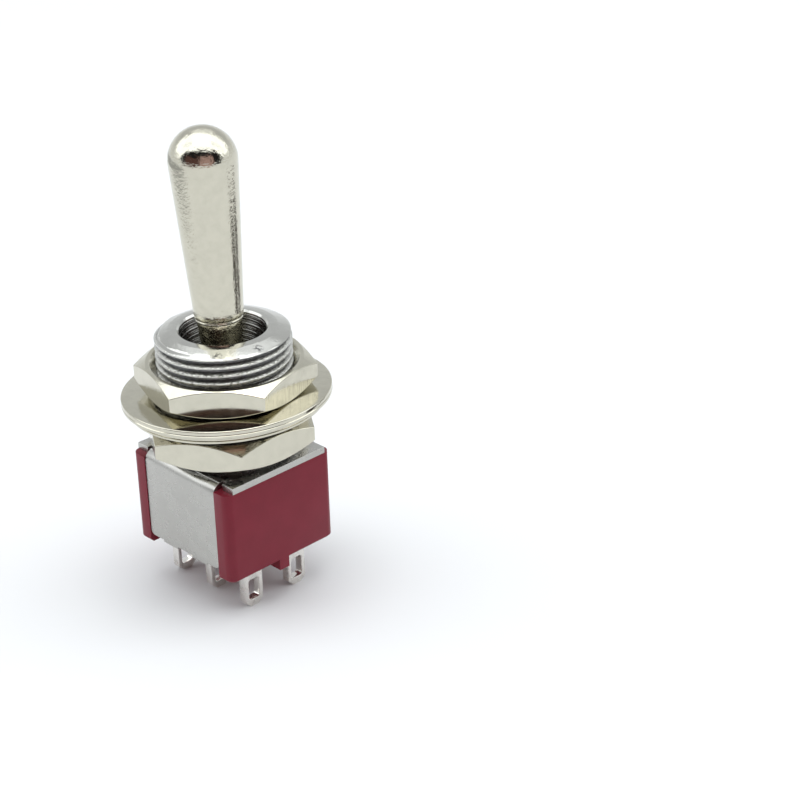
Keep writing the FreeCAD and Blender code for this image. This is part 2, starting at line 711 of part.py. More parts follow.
def make_lever_spring():
    """A compression spring between the bore's roof and the actuator's stem, its wire four-sided."""
    wire = size("wire_diameter")
    coil_radius = size("spring_bore / 2 - running_clearance") - wire / 2
    inset = wire / 2 + size("spring_clearance")
    low, high = size(STEM_TOP) + inset, size("-spring_bore_roof") - inset
    helix = Part.makeHelix((high - low) / size("spring_turns"), high - low, coil_radius)
    helix.translate(FreeCAD.Vector(0, 0, low))
    middle = FreeCAD.Vector(coil_radius, 0, low)
    across, along = FreeCAD.Vector(wire / 2, 0, 0), FreeCAD.Vector(0, 0, wire / 2)
    section = Part.makePolygon(
        [middle + across, middle + along, middle - across, middle - along, middle + across])
    feature = doc.addObject("Part::Feature", "lever_spring")
    feature.Shape = Part.Wire(helix).makePipeShell([section], True, True)
    register(feature, "lever_spring")
    place_on_lever(feature)


def make_blade(label, top):
    """A terminal's blade on the Z axis: cropped tip, long eyelet, flat across X."""
    body = new_body(label)
    face = new_sketch(body, "YZ_Plane")
    half, tip_half = "blade_width / 2", "blade_tip_width / 2"
    outline(face, [(f"-{tip_half}", "0"), (tip_half, "0"), (half, "blade_tip_rise"), (half, top),
                   (f"-{half}", top), (f"-{half}", "blade_tip_rise")])
    pad(body, face, "blade_thickness", symmetric=True)
    eyelet = new_sketch(body, "YZ_Plane")
    rectangle(eyelet, "-eyelet_width / 2", "eyelet_margin",
              "eyelet_width / 2", "eyelet_margin + eyelet_height")
    pocket(body, eyelet, "2 * blade_thickness", symmetric=True)
    side = size("eyelet_width / 2")
    round_edges(body, lambda edge: near(edge.BoundBox.XLength, size("blade_thickness"))
                and near(abs(edge.BoundBox.YMax), side), "eyelet_corner")
    return body


def make_terminals():
    for side, pole in ((-1, "near"), (1, "far")):
        row = f"{side} * row_spacing / 2"
        common = make_blade(f"common_terminal_{pole}", ROCKER_LEVEL)
        cradle = new_sketch(common, "XZ_Plane")
        circle(cradle, f"2 * {CRADLE_RADIUS}", "0", ROCKER_LEVEL)
        pad(common, cradle, "blade_width", symmetric=True)
        place(common, y=row)
        for hand, name, turn in ((-1, "left", "0"), (1, "right", "180")):
            throw = make_blade(f"throw_terminal_{pole}_{name}", f"{FLOOR_TOP} + head_thickness")
            head = new_sketch(throw, "XY_Plane", FLOOR_TOP)
            rectangle(head, "-blade_thickness / 2", "-blade_width / 2",
                      "head_length - blade_thickness / 2", "blade_width / 2")
            pad(throw, head, "head_thickness")
            place(throw, x=f"{hand} * terminal_pitch", y=row, angle=turn)
            contact = new_body(f"fixed_contact_{pole}_{name}")
            button = new_sketch(contact, "XY_Plane")
            circle(button, "contact_diameter")
            pad(contact, button, f"{FIXED_CONTACT_TOP} - {FLOOR_TOP} - head_thickness")
            place(contact, x=f"{hand} * {CONTACT_PLACE}", y=row, z=f"{FLOOR_TOP} + head_thickness")


def place_on_cradle(thing, side):
    """Put a piece that is drawn round a rocker's pivot on its cradle, turned by the lever."""
    place(thing, y=f"{side} * row_spacing / 2", z=ROCKER_LEVEL, axis=ALONG_Y,
          angle="lever_lean * rocker_throw / lever_throw")


def make_rocker(side, pole):
    """The seesaw strip: dished so that the actuator's foot stays on it through the throw."""
    body = new_body(f"rocker_{pole}")
    strip = new_sketch(body, "XZ_Plane")
    under = f"sqrt(({DISH_RADIUS} + rocker_thickness) ^ 2 - ({DISH_CENTRE} - {ARM_FOOT}) ^ 2)"
    outline(strip, [
        (f"-{ROCKER_ARM}", ARM_FOOT),
        (Free(f"-{under}"), ARM_FOOT),
        (Free(under), ARM_FOOT),
        (ROCKER_ARM, ARM_FOOT),
        (ROCKER_ARM, ARM_TOP),
        (Free("dish_half_width"), ARM_TOP),
        (Free("-dish_half_width"), ARM_TOP),
        (f"-{ROCKER_ARM}", ARM_TOP),
    ], {
        1: ("0", DISH_CENTRE, f"{DISH_RADIUS} + rocker_thickness", ""),
        5: ("0", DISH_CENTRE, DISH_RADIUS, "back"),
    })
    pad(body, strip, "rocker_width", symmetric=True)
    groove_cut = new_sketch(body, "XZ_Plane")
    circle(groove_cut, f"2 * ({CRADLE_RADIUS} + running_clearance)")
    pocket(body, groove_cut, "rocker_width", symmetric=True)
    ear = new_sketch(body, "XZ_Plane", "-rocker_width / 2")
    rectangle(ear, "-ear_width / 2", "-ear_drop", "ear_width / 2",
              f"{CRADLE_RADIUS} + rocker_thickness / 2")
    mirror(body, pad(body, ear, "ear_thickness"), "XZ_Plane")
    place_on_cradle(body, side)

    buttons = []
    for x in (f"-{CONTACT_PLACE}", CONTACT_PLACE):
        button = doc.addObject("Part::Cylinder", "button")
        drive(button, Radius="contact_diameter / 2", Height="moving_contact_height")
        place(button, x=x, z=BUTTON_FOOT)
        buttons.append(button)
    pair = doc.addObject("Part::Compound", "buttons")
    pair.Links = buttons
    register(pair, f"moving_contacts_{pole}")
    place_on_cradle(pair, side)


def check_model():
    """Every object rebuilt without an error, and every sub-part a sound solid."""
    for thing in doc.Objects:
        if "Invalid" in thing.State or "Error" in thing.State:
            raise RuntimeError(f"{thing.Label}: {thing.State}")
    for thing in parts:
        shape = thing.Shape
        if shape.isNull() or not shape.isValid() or shape.Volume <= 0:
            raise RuntimeError(f"{thing.Label}: no sound solid")


def write_parts():
    os.makedirs("parts", exist_ok=True)
    for thing in parts:
        thing.Shape.exportStep(f"parts/{thing.Label}.step")
        box = thing.Shape.BoundBox
        print(f"{thing.Label:28s} {len(thing.Shape.Solids)} solid, {thing.Shape.Volume:9.3f} mm3,"
              f" z {box.ZMin:7.3f} to {box.ZMax:7.3f}")


make_case()
make_frame()
make_bushing()
make_nut("rear_nut", REAR_NUT_FOOT, "rear_nut_turn")
make_lock_washer()
make_flat_washer()
make_nut("front_nut", FRONT_NUT_FOOT, "front_nut_turn")
make_lever()
make_pivot_pin()
make_actuator()
make_lever_spring()
make_terminals()
make_rocker(-1, "near")
make_rocker(1, "far")
doc.recompute()
check_model()
write_parts()
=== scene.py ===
"""Looks, studio and camera of a panel toggle switch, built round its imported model.

The switch stands on its six terminal tips at the origin. The row frame is kept: +Z runs up the
bushing's axis, and the lever swings in the XZ plane. Lengths are in metres, written in units of MM.
"""
import json
import logging
import math
from dataclasses import dataclass, field
from enum import Enum
from typing import Any, Callable, Sequence

import bmesh
import bpy
from mathutils import Matrix, Vector


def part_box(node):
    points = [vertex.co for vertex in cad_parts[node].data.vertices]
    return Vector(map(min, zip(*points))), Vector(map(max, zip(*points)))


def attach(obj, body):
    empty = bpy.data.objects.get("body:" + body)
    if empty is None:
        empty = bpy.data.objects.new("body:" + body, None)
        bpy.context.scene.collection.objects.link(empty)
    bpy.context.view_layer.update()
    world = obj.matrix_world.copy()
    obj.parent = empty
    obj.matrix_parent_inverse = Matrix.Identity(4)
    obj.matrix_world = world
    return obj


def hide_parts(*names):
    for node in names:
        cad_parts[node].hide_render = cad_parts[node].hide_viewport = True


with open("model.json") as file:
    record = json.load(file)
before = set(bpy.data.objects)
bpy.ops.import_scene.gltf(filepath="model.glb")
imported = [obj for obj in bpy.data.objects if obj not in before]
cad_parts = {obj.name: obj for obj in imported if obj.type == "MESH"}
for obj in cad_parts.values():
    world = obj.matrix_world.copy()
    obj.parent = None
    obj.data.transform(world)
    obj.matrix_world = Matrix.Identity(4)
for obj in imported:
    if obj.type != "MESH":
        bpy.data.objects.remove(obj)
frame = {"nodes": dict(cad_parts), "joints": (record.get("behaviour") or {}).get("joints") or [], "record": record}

MM = 0.001
WELD = 0.0005 * MM
FLAT_ANGLE = math.radians(0.5)
FULL_TURN = 2 * math.pi
SHADOW_SHARE = 0.93

Colour = tuple[float, float, float]
Point = tuple[float, float]

log = logging.getLogger("toggle_switch")


class Wiring:
    """Adds nodes to a node tree and joins their sockets."""

    def __init__(self, tree: bpy.types.NodeTree) -> None:
        """Work on a tree.

        Args:
            tree: the shader or geometry tree that the nodes go into.
        """
        self.tree = tree

    def feed(self, socket: bpy.types.NodeSocket, value: Any) -> None:
        """Link a socket to another one, or set its plain value."""
        if isinstance(value, bpy.types.NodeSocket):
            self.tree.links.new(value, socket)
        else:
            socket.default_value = value

    def add(self, kind: str, inputs: dict | None = None, **settings: Any) -> bpy.types.Node:
        """Add a node.

        Args:
            kind: the node's type name.
            inputs: values or source sockets, by the name or number of the input.
            settings: properties of the node itself.

        Returns:
            The new node.
        """
        node = self.tree.nodes.new(kind)
        for name, value in settings.items():
            setattr(node, name, value)
        for key, value in (inputs or {}).items():
            self.feed(node.inputs[key], value)
        return node

    def maths(self, operation: str, *values: Any) -> bpy.types.NodeSocket:
        """Put numbers or sockets through one Math node and return its output."""
        node = self.add("ShaderNodeMath", dict(enumerate(values)), operation=operation)
        return node.outputs[0]

    def remap(self, value: Any, low: float, high: float,
              to_low: float = 0.0, to_high: float = 1.0) -> bpy.types.NodeSocket:
        """Map a value from one range to another, held at both ends."""
        node = self.add("ShaderNodeMapRange", {0: value, 1: low, 2: high, 3: to_low, 4: to_high})
        return node.outputs[0]

    def mix(self, factor: Any, first: Any, second: Any) -> bpy.types.NodeSocket:
        """Blend two colours by a factor and return the blend."""
        node = self.add("ShaderNodeMix", {"Factor": factor}, data_type="RGBA")
        self.feed(node.inputs[6], first)
        self.feed(node.inputs[7], second)
        return node.outputs[2]

    def hypotenuse(self, first: Any, second: Any) -> bpy.types.NodeSocket:
        """The square root of the sum of two squares."""
        squares = [self.maths("POWER", value, 2.0) for value in (first, second)]
        return self.maths("SQRT", self.maths("ADD", *squares))


class ShapeTree(Wiring):
    """A Geometry Nodes tree with named sizes, turned into a plain mesh once it is made."""

    def __init__(self, name: str) -> None:
        """Start an empty tree.

        Args:
            name: the tree's name.
        """
        super().__init__(bpy.data.node_groups.new(name, "GeometryNodeTree"))
        self.tree.interface.new_socket("Geometry", in_out="OUTPUT", socket_type="NodeSocketGeometry")
        self.entry = self.tree.nodes.new("NodeGroupInput")
        self.exit = self.tree.nodes.new("NodeGroupOutput")
        self.values: dict[str, Any] = {}

    def size(self, name: str, value: Any, kind: str = "NodeSocketFloat") -> bpy.types.NodeSocket:
        """Add a named input.

        Args:
            name: the input's name.
            value: what the modifier sets it to.
            kind: the socket's type.

        Returns:
            The socket inside the tree that carries the value.
        """
        item = self.tree.interface.new_socket(name, in_out="INPUT", socket_type=kind)
        self.values[item.identifier] = value
        return self.entry.outputs[name]

    def made(self, name: str, geometry: bpy.types.NodeSocket,
             material: bpy.types.Material) -> bpy.types.Mesh:
        """Close the tree, run it once and return the plain mesh that it makes.

        Args:
            name: the mesh's name.
            geometry: the socket that holds the finished geometry.
            material: the material that the tree gives it.

        Returns:
            The evaluated mesh.
        """
        real = self.add("GeometryNodeRealizeInstances", {"Geometry": geometry})
        dressed = self.add("GeometryNodeSetMaterial",
                           {"Geometry": real.outputs[0], "Material": material})
        self.feed(self.exit.inputs[0], dressed.outputs[0])
        carrier = linked(name + "_carrier", bpy.data.meshes.new(name))
        modifier = carrier.modifiers.new("shape", "NODES")
        modifier.node_group = self.tree
        for identifier, value in self.values.items():
            modifier[identifier] = value
        mesh = evaluated(carrier)
        bpy.data.objects.remove(carrier)
        return mesh


def blank_material(name: str) -> tuple[bpy.types.Material, Wiring, bpy.types.Node]:
    """A new material, the wiring of its tree and its shader."""
    material = bpy.data.materials.new(name)
    material.use_nodes = True
    return material, Wiring(material.node_tree), material.node_tree.nodes["Principled BSDF"]


def linked(name: str, mesh: bpy.types.Mesh) -> bpy.types.Object:
    """Put a mesh into the scene as an object at the origin."""
    thing = bpy.data.objects.new(name, mesh)
    bpy.context.scene.collection.objects.link(thing)
    return thing


def evaluated(thing: bpy.types.Object) -> bpy.types.Mesh:
    """The plain mesh of an object with its modifiers applied."""
    bpy.context.view_layer.update()
    graph = bpy.context.evaluated_depsgraph_get()
    return bpy.data.meshes.new_from_object(thing.evaluated_get(graph))


def settle(thing: bpy.types.Object) -> None:
    """Apply all of an object's modifiers to its mesh."""
    mesh = evaluated(thing)
    thing.modifiers.clear()
    thing.data = mesh


def shade(mesh: bpy.types.Mesh, crease_angle: float) -> None:
    """Shade a mesh smooth, and sharp across edges that bend more than an angle in degrees."""
    mesh.shade_smooth()
    mesh.set_sharp_from_angle(angle=math.radians(crease_angle))


def gathered(meshes: Sequence[bpy.types.Mesh]) -> bmesh.types.BMesh:
    """Several meshes together in one editable shell."""
    shell = bmesh.new()
    for mesh in meshes:
        shell.from_mesh(mesh)
    return shell


def released(shell: bmesh.types.BMesh, name: str) -> bpy.types.Mesh:
    """The plain mesh of an editable shell, which is freed."""
    mesh = bpy.data.meshes.new(name)
    shell.to_mesh(mesh)
    shell.free()
    return mesh


def welded(meshes: Sequence[bpy.types.Mesh], name: str) -> bpy.types.Mesh:
    """Join meshes into one, weld the points that meet, and turn all faces outwards.

    Args:
        meshes: the meshes to join, all in the row frame.
        name: the new mesh's name.

    Returns:
        The joined mesh.
    """
    shell = gathered(meshes)
    bmesh.ops.remove_doubles(shell, verts=shell.verts, dist=WELD)
    bmesh.ops.dissolve_degenerate(shell, dist=WELD, edges=shell.edges)
    bmesh.ops.recalc_face_normals(shell, faces=shell.faces)
    return released(shell, name)


def cut(thing: bpy.types.Object, tool: bpy.types.Mesh) -> None:
    """Cut a tool's shape out of an object and apply the cut."""
    cutter = linked("cutter", tool)
    modifier = thing.modifiers.new("cut", "BOOLEAN")
    modifier.operation = "DIFFERENCE"
    modifier.solver = "EXACT"
    modifier.object = cutter
    settle(thing)
    bpy.data.objects.remove(cutter)


def prism(outline: Sequence[Point], low: float, high: float,
          at: Callable[[float, float, float], Vector]) -> bpy.types.Mesh:
    """A straight prism over a flat outline.

    Args:
        outline: the corners of the outline, in order.
        low: where the prism starts along its length.
        high: where it ends.
        at: gives a point's place from its two outline coordinates and its place along the length.

    Returns:
        The closed mesh.
    """
    count = len(outline)
    points = [at(a, b, level) for level in (low, high) for a, b in outline]
    faces = [[i, (i + 1) % count, count + (i + 1) % count, count + i] for i in range(count)]
    faces += [list(range(count))[::-1], list(range(count, 2 * count))]
    mesh = bpy.data.meshes.new("prism")
    mesh.from_pydata(points, [], faces)
    return welded([mesh], "prism")


def lathe(profile: Sequence[Point], columns: int, closed: bool = False) -> bpy.types.Mesh:
    """Turn a profile about the Z axis.

    Args:
        profile: radius and height of each point; a radius of 0 makes a pole.
        columns: how many steps the full turn has.
        closed: whether the last point joins the first one.

    Returns:
        The turned mesh, its normals not yet set.
    """
    points: list[tuple[float, float, float]] = []
    rings: list[list[int]] = []
    for radius, height in profile:
        start = len(points)
        if radius == 0:
            points.append((0.0, 0.0, height))
            rings.append([start] * columns)
            continue
        for column in range(columns):
            angle = FULL_TURN * column / columns
            points.append((radius * math.cos(angle), radius * math.sin(angle), height))
        rings.append(list(range(start, start + columns)))
    pairs = list(zip(rings, rings[1:]))
    if closed:
        pairs.append((rings[-1], rings[0]))
    faces = []
    for low, high in pairs:
        for column in range(columns):
            after = (column + 1) % columns
            corners = [low[column], low[after], high[after], high[column]]
            faces.append(list(dict.fromkeys(corners)))
    mesh = bpy.data.meshes.new("lathe")
    mesh.from_pydata(points, [], faces)
    return mesh


def arc(centre: Point, radius: float, start: float, finish: float, steps: int) -> list[Point]:
    """Points of an arc, from one angle to another in degrees, both ends among them."""
    angles = [math.radians(start + (finish - start) * step / steps) for step in range(steps + 1)]
    return [(centre[0] + radius * math.cos(a), centre[1] + radius * math.sin(a)) for a in angles]


def eased(profile: Sequence[tuple[float, float, float]], steps: int = 4) -> list[Point]:
    """Round the corners of a profile.

    Args:
        profile: radius, height and corner rounding of each point; 0 leaves a corner as it is.
        steps: how many faces each rounding has.

    Returns:
        The points of the rounded profile.
    """
    points = [Vector((x, y)) for x, y, _ in profile]
    result: list[Point] = []
    for index, (x, y, rounding) in enumerate(profile):
        corner = points[index]
        if rounding == 0 or index in (0, len(profile) - 1):
            result.append((x, y))
            continue
        back = (points[index - 1] - corner).normalized()
        ahead = (points[index + 1] - corner).normalized()
        reach = rounding * math.tan((math.pi - back.angle(ahead)) / 2)
        for step in range(steps + 1):
            share = step / steps
            one = corner + back * reach * (1 - share)
            two = corner + ahead * reach * share
            spot = one.lerp(two, share)
            result.append((spot.x, spot.y))
    return result


def round_edges(piece: bpy.types.Object, width: float, angle: float, segments: int) -> None:
    """Shade a piece smooth and round its sharp edges.

    Args:
        piece: the piece to change.
        width: how wide the rounding is.
        angle: edges that bend less than this many degrees stay as they are.
        segments: how many faces the rounding has.
    """
    piece.data.shade_smooth()
    modifier = piece.modifiers.new("edges", "BEVEL")
    modifier.width = width
    modifier.segments = segments
    modifier.limit_method = "ANGLE"
    modifier.angle_limit = math.radians(angle)
    modifier.harden_normals = True
    settle(piece)


def rounded_copy(node: str, width: float) -> bpy.types.Object:
    """A copy of a CAD node with its sharp edges rounded.

    Args:
        node: the CAD node's name.
        width: how wide the rounding is.

    Returns:
        The new piece, in the node's own place.
    """
    shell = gathered([frame["nodes"][node].data])
    bmesh.ops.remove_doubles(shell, verts=shell.verts, dist=WELD)
    bmesh.ops.dissolve_limit(shell, angle_limit=FLAT_ANGLE, verts=shell.verts,
                             edges=shell.edges, delimit={"NORMAL"})
    piece = linked(node + "_shell", released(shell, node))
    round_edges(piece, width, angle=30.0, segments=3)
    return piece


class Effects:
    """Shader groups that more than one finish uses, each built once."""

    CLOUD_RANGE: Point = (0.35, 0.65)
    SPECK_RANGE: Point = (0.66, 0.74)
    SPECKS_PER_CLOUD: float = 4.0
    _built: dict[str, bpy.types.NodeTree] = {}

    @classmethod
    def _started(cls, name: str, outputs: Sequence[str], **inputs: float) -> tuple[Wiring, Any, Any]:
        """Start a group with a Vector input, named numbers and named outputs."""
        tree = bpy.data.node_groups.new(name, "ShaderNodeTree")
        tree.interface.new_socket("Vector", in_out="INPUT", socket_type="NodeSocketVector")
        for label, value in inputs.items():
            item = tree.interface.new_socket(label, in_out="INPUT", socket_type="NodeSocketFloat")
            item.default_value = value
        for label in outputs:
            tree.interface.new_socket(label, in_out="OUTPUT", socket_type="NodeSocketFloat")
        cls._built[name] = tree
        entry = tree.nodes.new("NodeGroupInput")
        return Wiring(tree), entry.outputs, tree.nodes.new("NodeGroupOutput").inputs

    @classmethod
    def mottle(cls) -> bpy.types.NodeTree:
        """Clouds and specks, as plating and cast surfaces show: outputs Clouds and Specks."""
        if "mottle" in cls._built:
            return cls._built["mottle"]
        wiring, entry, out = cls._started("mottle", ("Clouds", "Specks"), Size=1.0 * MM)
        frequency = wiring.maths("DIVIDE", 1.0, entry["Size"])
        clouds = wiring.add("ShaderNodeTexNoise", {
            "Vector": entry["Vector"], "Scale": frequency, "Detail": 3.0, "Roughness": 0.55})
        wiring.feed(out["Clouds"], wiring.remap(clouds.outputs["Fac"], *cls.CLOUD_RANGE))
        finer = wiring.maths("MULTIPLY", frequency, cls.SPECKS_PER_CLOUD)
        specks = wiring.add("ShaderNodeTexNoise", {
            "Vector": entry["Vector"], "Scale": finer, "Detail": 2.0, "Roughness": 0.7})
        wiring.feed(out["Specks"], wiring.remap(specks.outputs["Fac"], *cls.SPECK_RANGE))
        return cls._built["mottle"]

    @classmethod
    def turned_marks(cls) -> bpy.types.NodeTree:
        """Fine rings that a turning tool leaves about the Z axis: output Height."""
        if "turned_marks" in cls._built:
            return cls._built["turned_marks"]
        wiring, entry, out = cls._started("turned_marks", ("Height",), Pitch=0.1 * MM)
        place = wiring.add("ShaderNodeSeparateXYZ", {0: entry["Vector"]}).outputs
        radius = wiring.hypotenuse(place["X"], place["Y"])
        flat = wiring.add("ShaderNodeCombineXYZ", {"X": radius, "Y": place["Z"]})
        frequency = wiring.maths("DIVIDE", 1.0, entry["Pitch"])
        rings = wiring.add("ShaderNodeTexNoise", {
            "Vector": flat.outputs[0], "Scale": frequency, "Detail": 2.0}, noise_dimensions="2D")
        wiring.feed(out["Height"], rings.outputs["Fac"])
        return cls._built["turned_marks"]

    @classmethod
    def drawn_marks(cls) -> bpy.types.NodeTree:
        """Fine straight lines along Z, as on drawn or milled stock: output Height."""
        if "drawn_marks" in cls._built:
            return cls._built["drawn_marks"]
        wiring, entry, out = cls._started("drawn_marks", ("Height",), Pitch=0.1 * MM, Stretch=0.04)
        squeeze = wiring.add("ShaderNodeCombineXYZ", {"X": 1.0, "Y": 1.0, "Z": entry["Stretch"]})
        stretched = wiring.add("ShaderNodeVectorMath", {
            0: entry["Vector"], 1: squeeze.outputs[0]}, operation="MULTIPLY")
        frequency = wiring.maths("DIVIDE", 1.0, entry["Pitch"])
        lines = wiring.add("ShaderNodeTexNoise", {
            "Vector": stretched.outputs[0], "Scale": frequency, "Detail": 2.0})
        wiring.feed(out["Height"], lines.outputs["Fac"])
        return cls._built["drawn_marks"]


class Marks(Enum):
    """What kind of tool marks a metal surface carries."""

    NONE = "none"
    TURNED = "turned_marks"
    DRAWN = "drawn_marks"


@dataclass(frozen=True)
class Metal:
    """A bare or plated metal with faint clouds and tool marks."""

    name: str
    tint: Colour
    shadow_tint: Colour
    roughness: float
    rough_spread: float = 0.06
    cloud_size: float = 1.2 * MM
    marks: Marks = Marks.NONE
    mark_pitch: float = 0.12 * MM
    mark_depth: float = 0.0
    peel_size: float = 0.35 * MM
    peel_depth: float = 0.0
    axis_at: tuple[float, float, float] = (0.0, 0.0, 0.0)
    axis_lean: float = 0.0

    def build(self) -> bpy.types.Material:
        """Make the material."""
        material, wiring, shader = blank_material(self.name)
        place = wiring.add("ShaderNodeTexCoord").outputs["Object"]
        centred = wiring.add("ShaderNodeMapping", {
            "Vector": place, "Location": self.axis_at, "Rotation": (0.0, self.axis_lean, 0.0)},
            vector_type="TEXTURE").outputs[0]
        mottle = wiring.add("ShaderNodeGroup", {"Vector": centred, "Size": self.cloud_size},
                            node_tree=Effects.mottle())
        colour = wiring.mix(mottle.outputs["Clouds"], (*self.shadow_tint, 1.0), (*self.tint, 1.0))
        wiring.feed(shader.inputs["Base Color"], colour)
        rough = wiring.remap(mottle.outputs["Clouds"], 0.0, 1.0,
                             self.roughness + self.rough_spread, self.roughness)
        wiring.feed(shader.inputs["Roughness"], rough)
        shader.inputs["Metallic"].default_value = 1.0
        self.add_relief(wiring, shader, centred)
        return material

    def add_relief(self, wiring: Wiring, shader: bpy.types.Node,
                   place: bpy.types.NodeSocket) -> None:
        """Add the tool marks and the plating's slight waviness to the surface's normal.

        Args:
            wiring: the material's tree.
            shader: the node that takes the normal.
            place: the position in the surface's own axes.
        """
        normal = None
        if self.marks is not Marks.NONE:
            marks = wiring.add("ShaderNodeGroup", {"Vector": place, "Pitch": self.mark_pitch},
                               node_tree=getattr(Effects, self.marks.value)())
            normal = wiring.add("ShaderNodeBump", {
                "Strength": 1.0, "Distance": self.mark_depth, "Height": marks.outputs["Height"]})
        if self.peel_depth:
            peel = wiring.add("ShaderNodeTexNoise", {
                "Vector": place, "Scale": 1.0 / self.peel_size, "Detail": 3.0, "Roughness": 0.6})
            bump = wiring.add("ShaderNodeBump", {
                "Strength": 1.0, "Distance": self.peel_depth, "Height": peel.outputs["Fac"]})
            if normal:
                wiring.feed(bump.inputs["Normal"], normal.outputs["Normal"])
            normal = bump
        if normal:
            wiring.feed(shader.inputs["Normal"], normal.outputs["Normal"])


@dataclass(frozen=True)
class Moulding:
    """Moulded plastic: an even colour with a fine satin skin."""

    name: str
    tint: Colour
    worn_tint: Colour
    roughness: float
    skin_size: float = 0.25 * MM
    skin_depth: float = 0.0015 * MM
    cloud_size: float = 1.6 * MM
    speck_gloss: float = 0.08
    reflectance: float = 0.35

    def build(self) -> bpy.types.Material:
        """Make the material."""
        material, wiring, shader = blank_material(self.name)
        shader.inputs["Specular IOR Level"].default_value = self.reflectance
        place = wiring.add("ShaderNodeTexCoord").outputs["Object"]
        mottle = wiring.add("ShaderNodeGroup", {"Vector": place, "Size": self.cloud_size},
                            node_tree=Effects.mottle())
        colour = wiring.mix(mottle.outputs["Clouds"], (*self.tint, 1.0), (*self.worn_tint, 1.0))
        wiring.feed(shader.inputs["Base Color"], colour)
        rough = wiring.remap(mottle.outputs["Specks"], 0.0, 1.0, self.roughness,
                             self.roughness - self.speck_gloss)
        wiring.feed(shader.inputs["Roughness"], rough)
        skin = wiring.add("ShaderNodeTexNoise", {
            "Vector": place, "Scale": 1.0 / self.skin_size, "Detail": 3.0})
        bump = wiring.add("ShaderNodeBump", {
            "Strength": 1.0, "Distance": self.skin_depth, "Height": skin.outputs["Fac"]})
        wiring.feed(shader.inputs["Normal"], bump.outputs["Normal"])
        return material


@dataclass(frozen=True)
class ThreadedMetal(Metal):
    """A turned metal with painted shade in its thread roots and mouth, a scored mouth and a few dark pitted dents
    in its shoulder.
    """

    # Painted shade in the thread roots starts at the first radius below and is full at the second.
    clear_radius: float = 5.86 * MM
    root_shade_radius: float = 5.60 * MM
    inner_radius: float = 5.30 * MM
    mouth_radius: float = 3.78 * MM
    top: float = 24.4 * MM
    # The grey of the painted shade and of the dark pits, as a share of the tint's mean.
    shade_and_pit_share: float = 0.24
    grain_size: float = 0.28 * MM
    grain_depth: float = 0.10 * MM
    score_pitch: float = 0.16 * MM
    score_depth: float = 0.05 * MM
    dents: tuple[tuple[float, float, float], ...] = ()
    dent_radius: float = 0.55 * MM
    dent_core: float = 0.3
    pit_range: Point = (0.47, 0.53)
    # How far the painted shade inside the mouth darkens it.
    mouth_shade_share: float = 0.55

    def build(self) -> bpy.types.Material:
        """Make the material, then paint shade into the thread roots and the mouth, darken the pits of the dents
        and add the thread's grain and the mouth's scoring.
        """
        material = super().build()
        wiring = Wiring(material.node_tree)
        shader = material.node_tree.nodes["Principled BSDF"]
        place = wiring.add("ShaderNodeTexCoord").outputs["Object"]
        parts = wiring.add("ShaderNodeSeparateXYZ", {0: place}).outputs
        radius = wiring.hypotenuse(parts["X"], parts["Y"])
        on_thread = wiring.maths("MULTIPLY", wiring.maths("GREATER_THAN", radius, self.inner_radius),
                                 wiring.maths("LESS_THAN", parts["Z"], self.top))
        in_mouth = wiring.maths("LESS_THAN", radius, self.mouth_radius)
        grain = wiring.add("ShaderNodeTexNoise", {
            "Vector": place, "Scale": 1.0 / self.grain_size, "Detail": 3.0, "Roughness": 0.7})

        # Painted shade in the thread roots, its edge made uneven by the grain.
        uneven = wiring.maths("MULTIPLY", wiring.maths("SUBTRACT", grain.outputs["Fac"], 0.5),
                              self.clear_radius - self.inner_radius)
        sunk = wiring.remap(wiring.maths("ADD", radius, uneven), self.clear_radius, self.root_shade_radius)
        share = wiring.maths("MULTIPLY", sunk, on_thread)
        # Painted shade inside the mouth.
        share = wiring.maths("MAXIMUM", share, wiring.maths("MULTIPLY", in_mouth, self.mouth_shade_share))
        # Dark pits of wear round the dents in the shoulder.
        for dent in self.dents:
            reach = wiring.add("ShaderNodeVectorMath", {0: place, 1: dent}, operation="DISTANCE")
            near = wiring.remap(reach.outputs["Value"], self.dent_radius,
                                self.dent_core * self.dent_radius)
            pitted = wiring.remap(grain.outputs["Fac"], *self.pit_range)
            share = wiring.maths("MAXIMUM", share, wiring.maths("MULTIPLY", near, pitted))
        # Blend the clean colour towards one dark grey by the share of painted shade and pits.
        clean = shader.inputs["Base Color"].links[0].from_socket
        shade_and_pit_colour = (*(sum(self.tint) / 3 * self.shade_and_pit_share,) * 3, 1.0)
        wiring.feed(shader.inputs["Base Color"], wiring.mix(share, clean, shade_and_pit_colour))

        rings = wiring.add("ShaderNodeGroup", {"Vector": place, "Pitch": self.score_pitch},
                           node_tree=Effects.turned_marks()).outputs["Height"]
        rough = wiring.maths("MULTIPLY", wiring.maths("MULTIPLY", on_thread, self.grain_depth),
                             grain.outputs["Fac"])
        scored = wiring.maths("MULTIPLY", wiring.maths("MULTIPLY", in_mouth, self.score_depth), rings)
        smooth = shader.inputs["Normal"].links[0].from_socket
        bump = wiring.add("ShaderNodeBump", {
            "Strength": 1.0, "Distance": 1.0, "Height": wiring.maths("ADD", rough, scored),
            "Normal": smooth})
        wiring.feed(shader.inputs["Normal"], bump.outputs["Normal"])
        return material


def mount_piece(piece: bpy.types.Object, body: str, slot: str,
                material: bpy.types.Material, *nodes: str) -> bpy.types.Object:
    """Dress a finished piece and fasten it to its body.

    Args:
        piece: the piece, in its place in the row frame.
        body: the CAD body that it rides on.
        slot: the record's material slot that its finish stands for; not used.
        material: its finish.
        nodes: the CAD nodes that it replaces.

    Returns:
        The piece.
    """
    piece.data.materials.clear()
    piece.data.materials.append(material)
    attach(piece, body)
    if nodes:
        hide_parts(*nodes)
    log.info("%s: %d faces, on %s", piece.name, len(piece.data.polygons), body)
    return piece


def levels(node: str) -> tuple[float, float]:
    """The lowest and the highest level of a CAD node at rest."""
    low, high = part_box(node)
    return low.z, high.z


def middle(node: str) -> Vector:
    """The centre of a CAD node's box at rest."""
    low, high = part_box(node)
    return (low + high) / 2


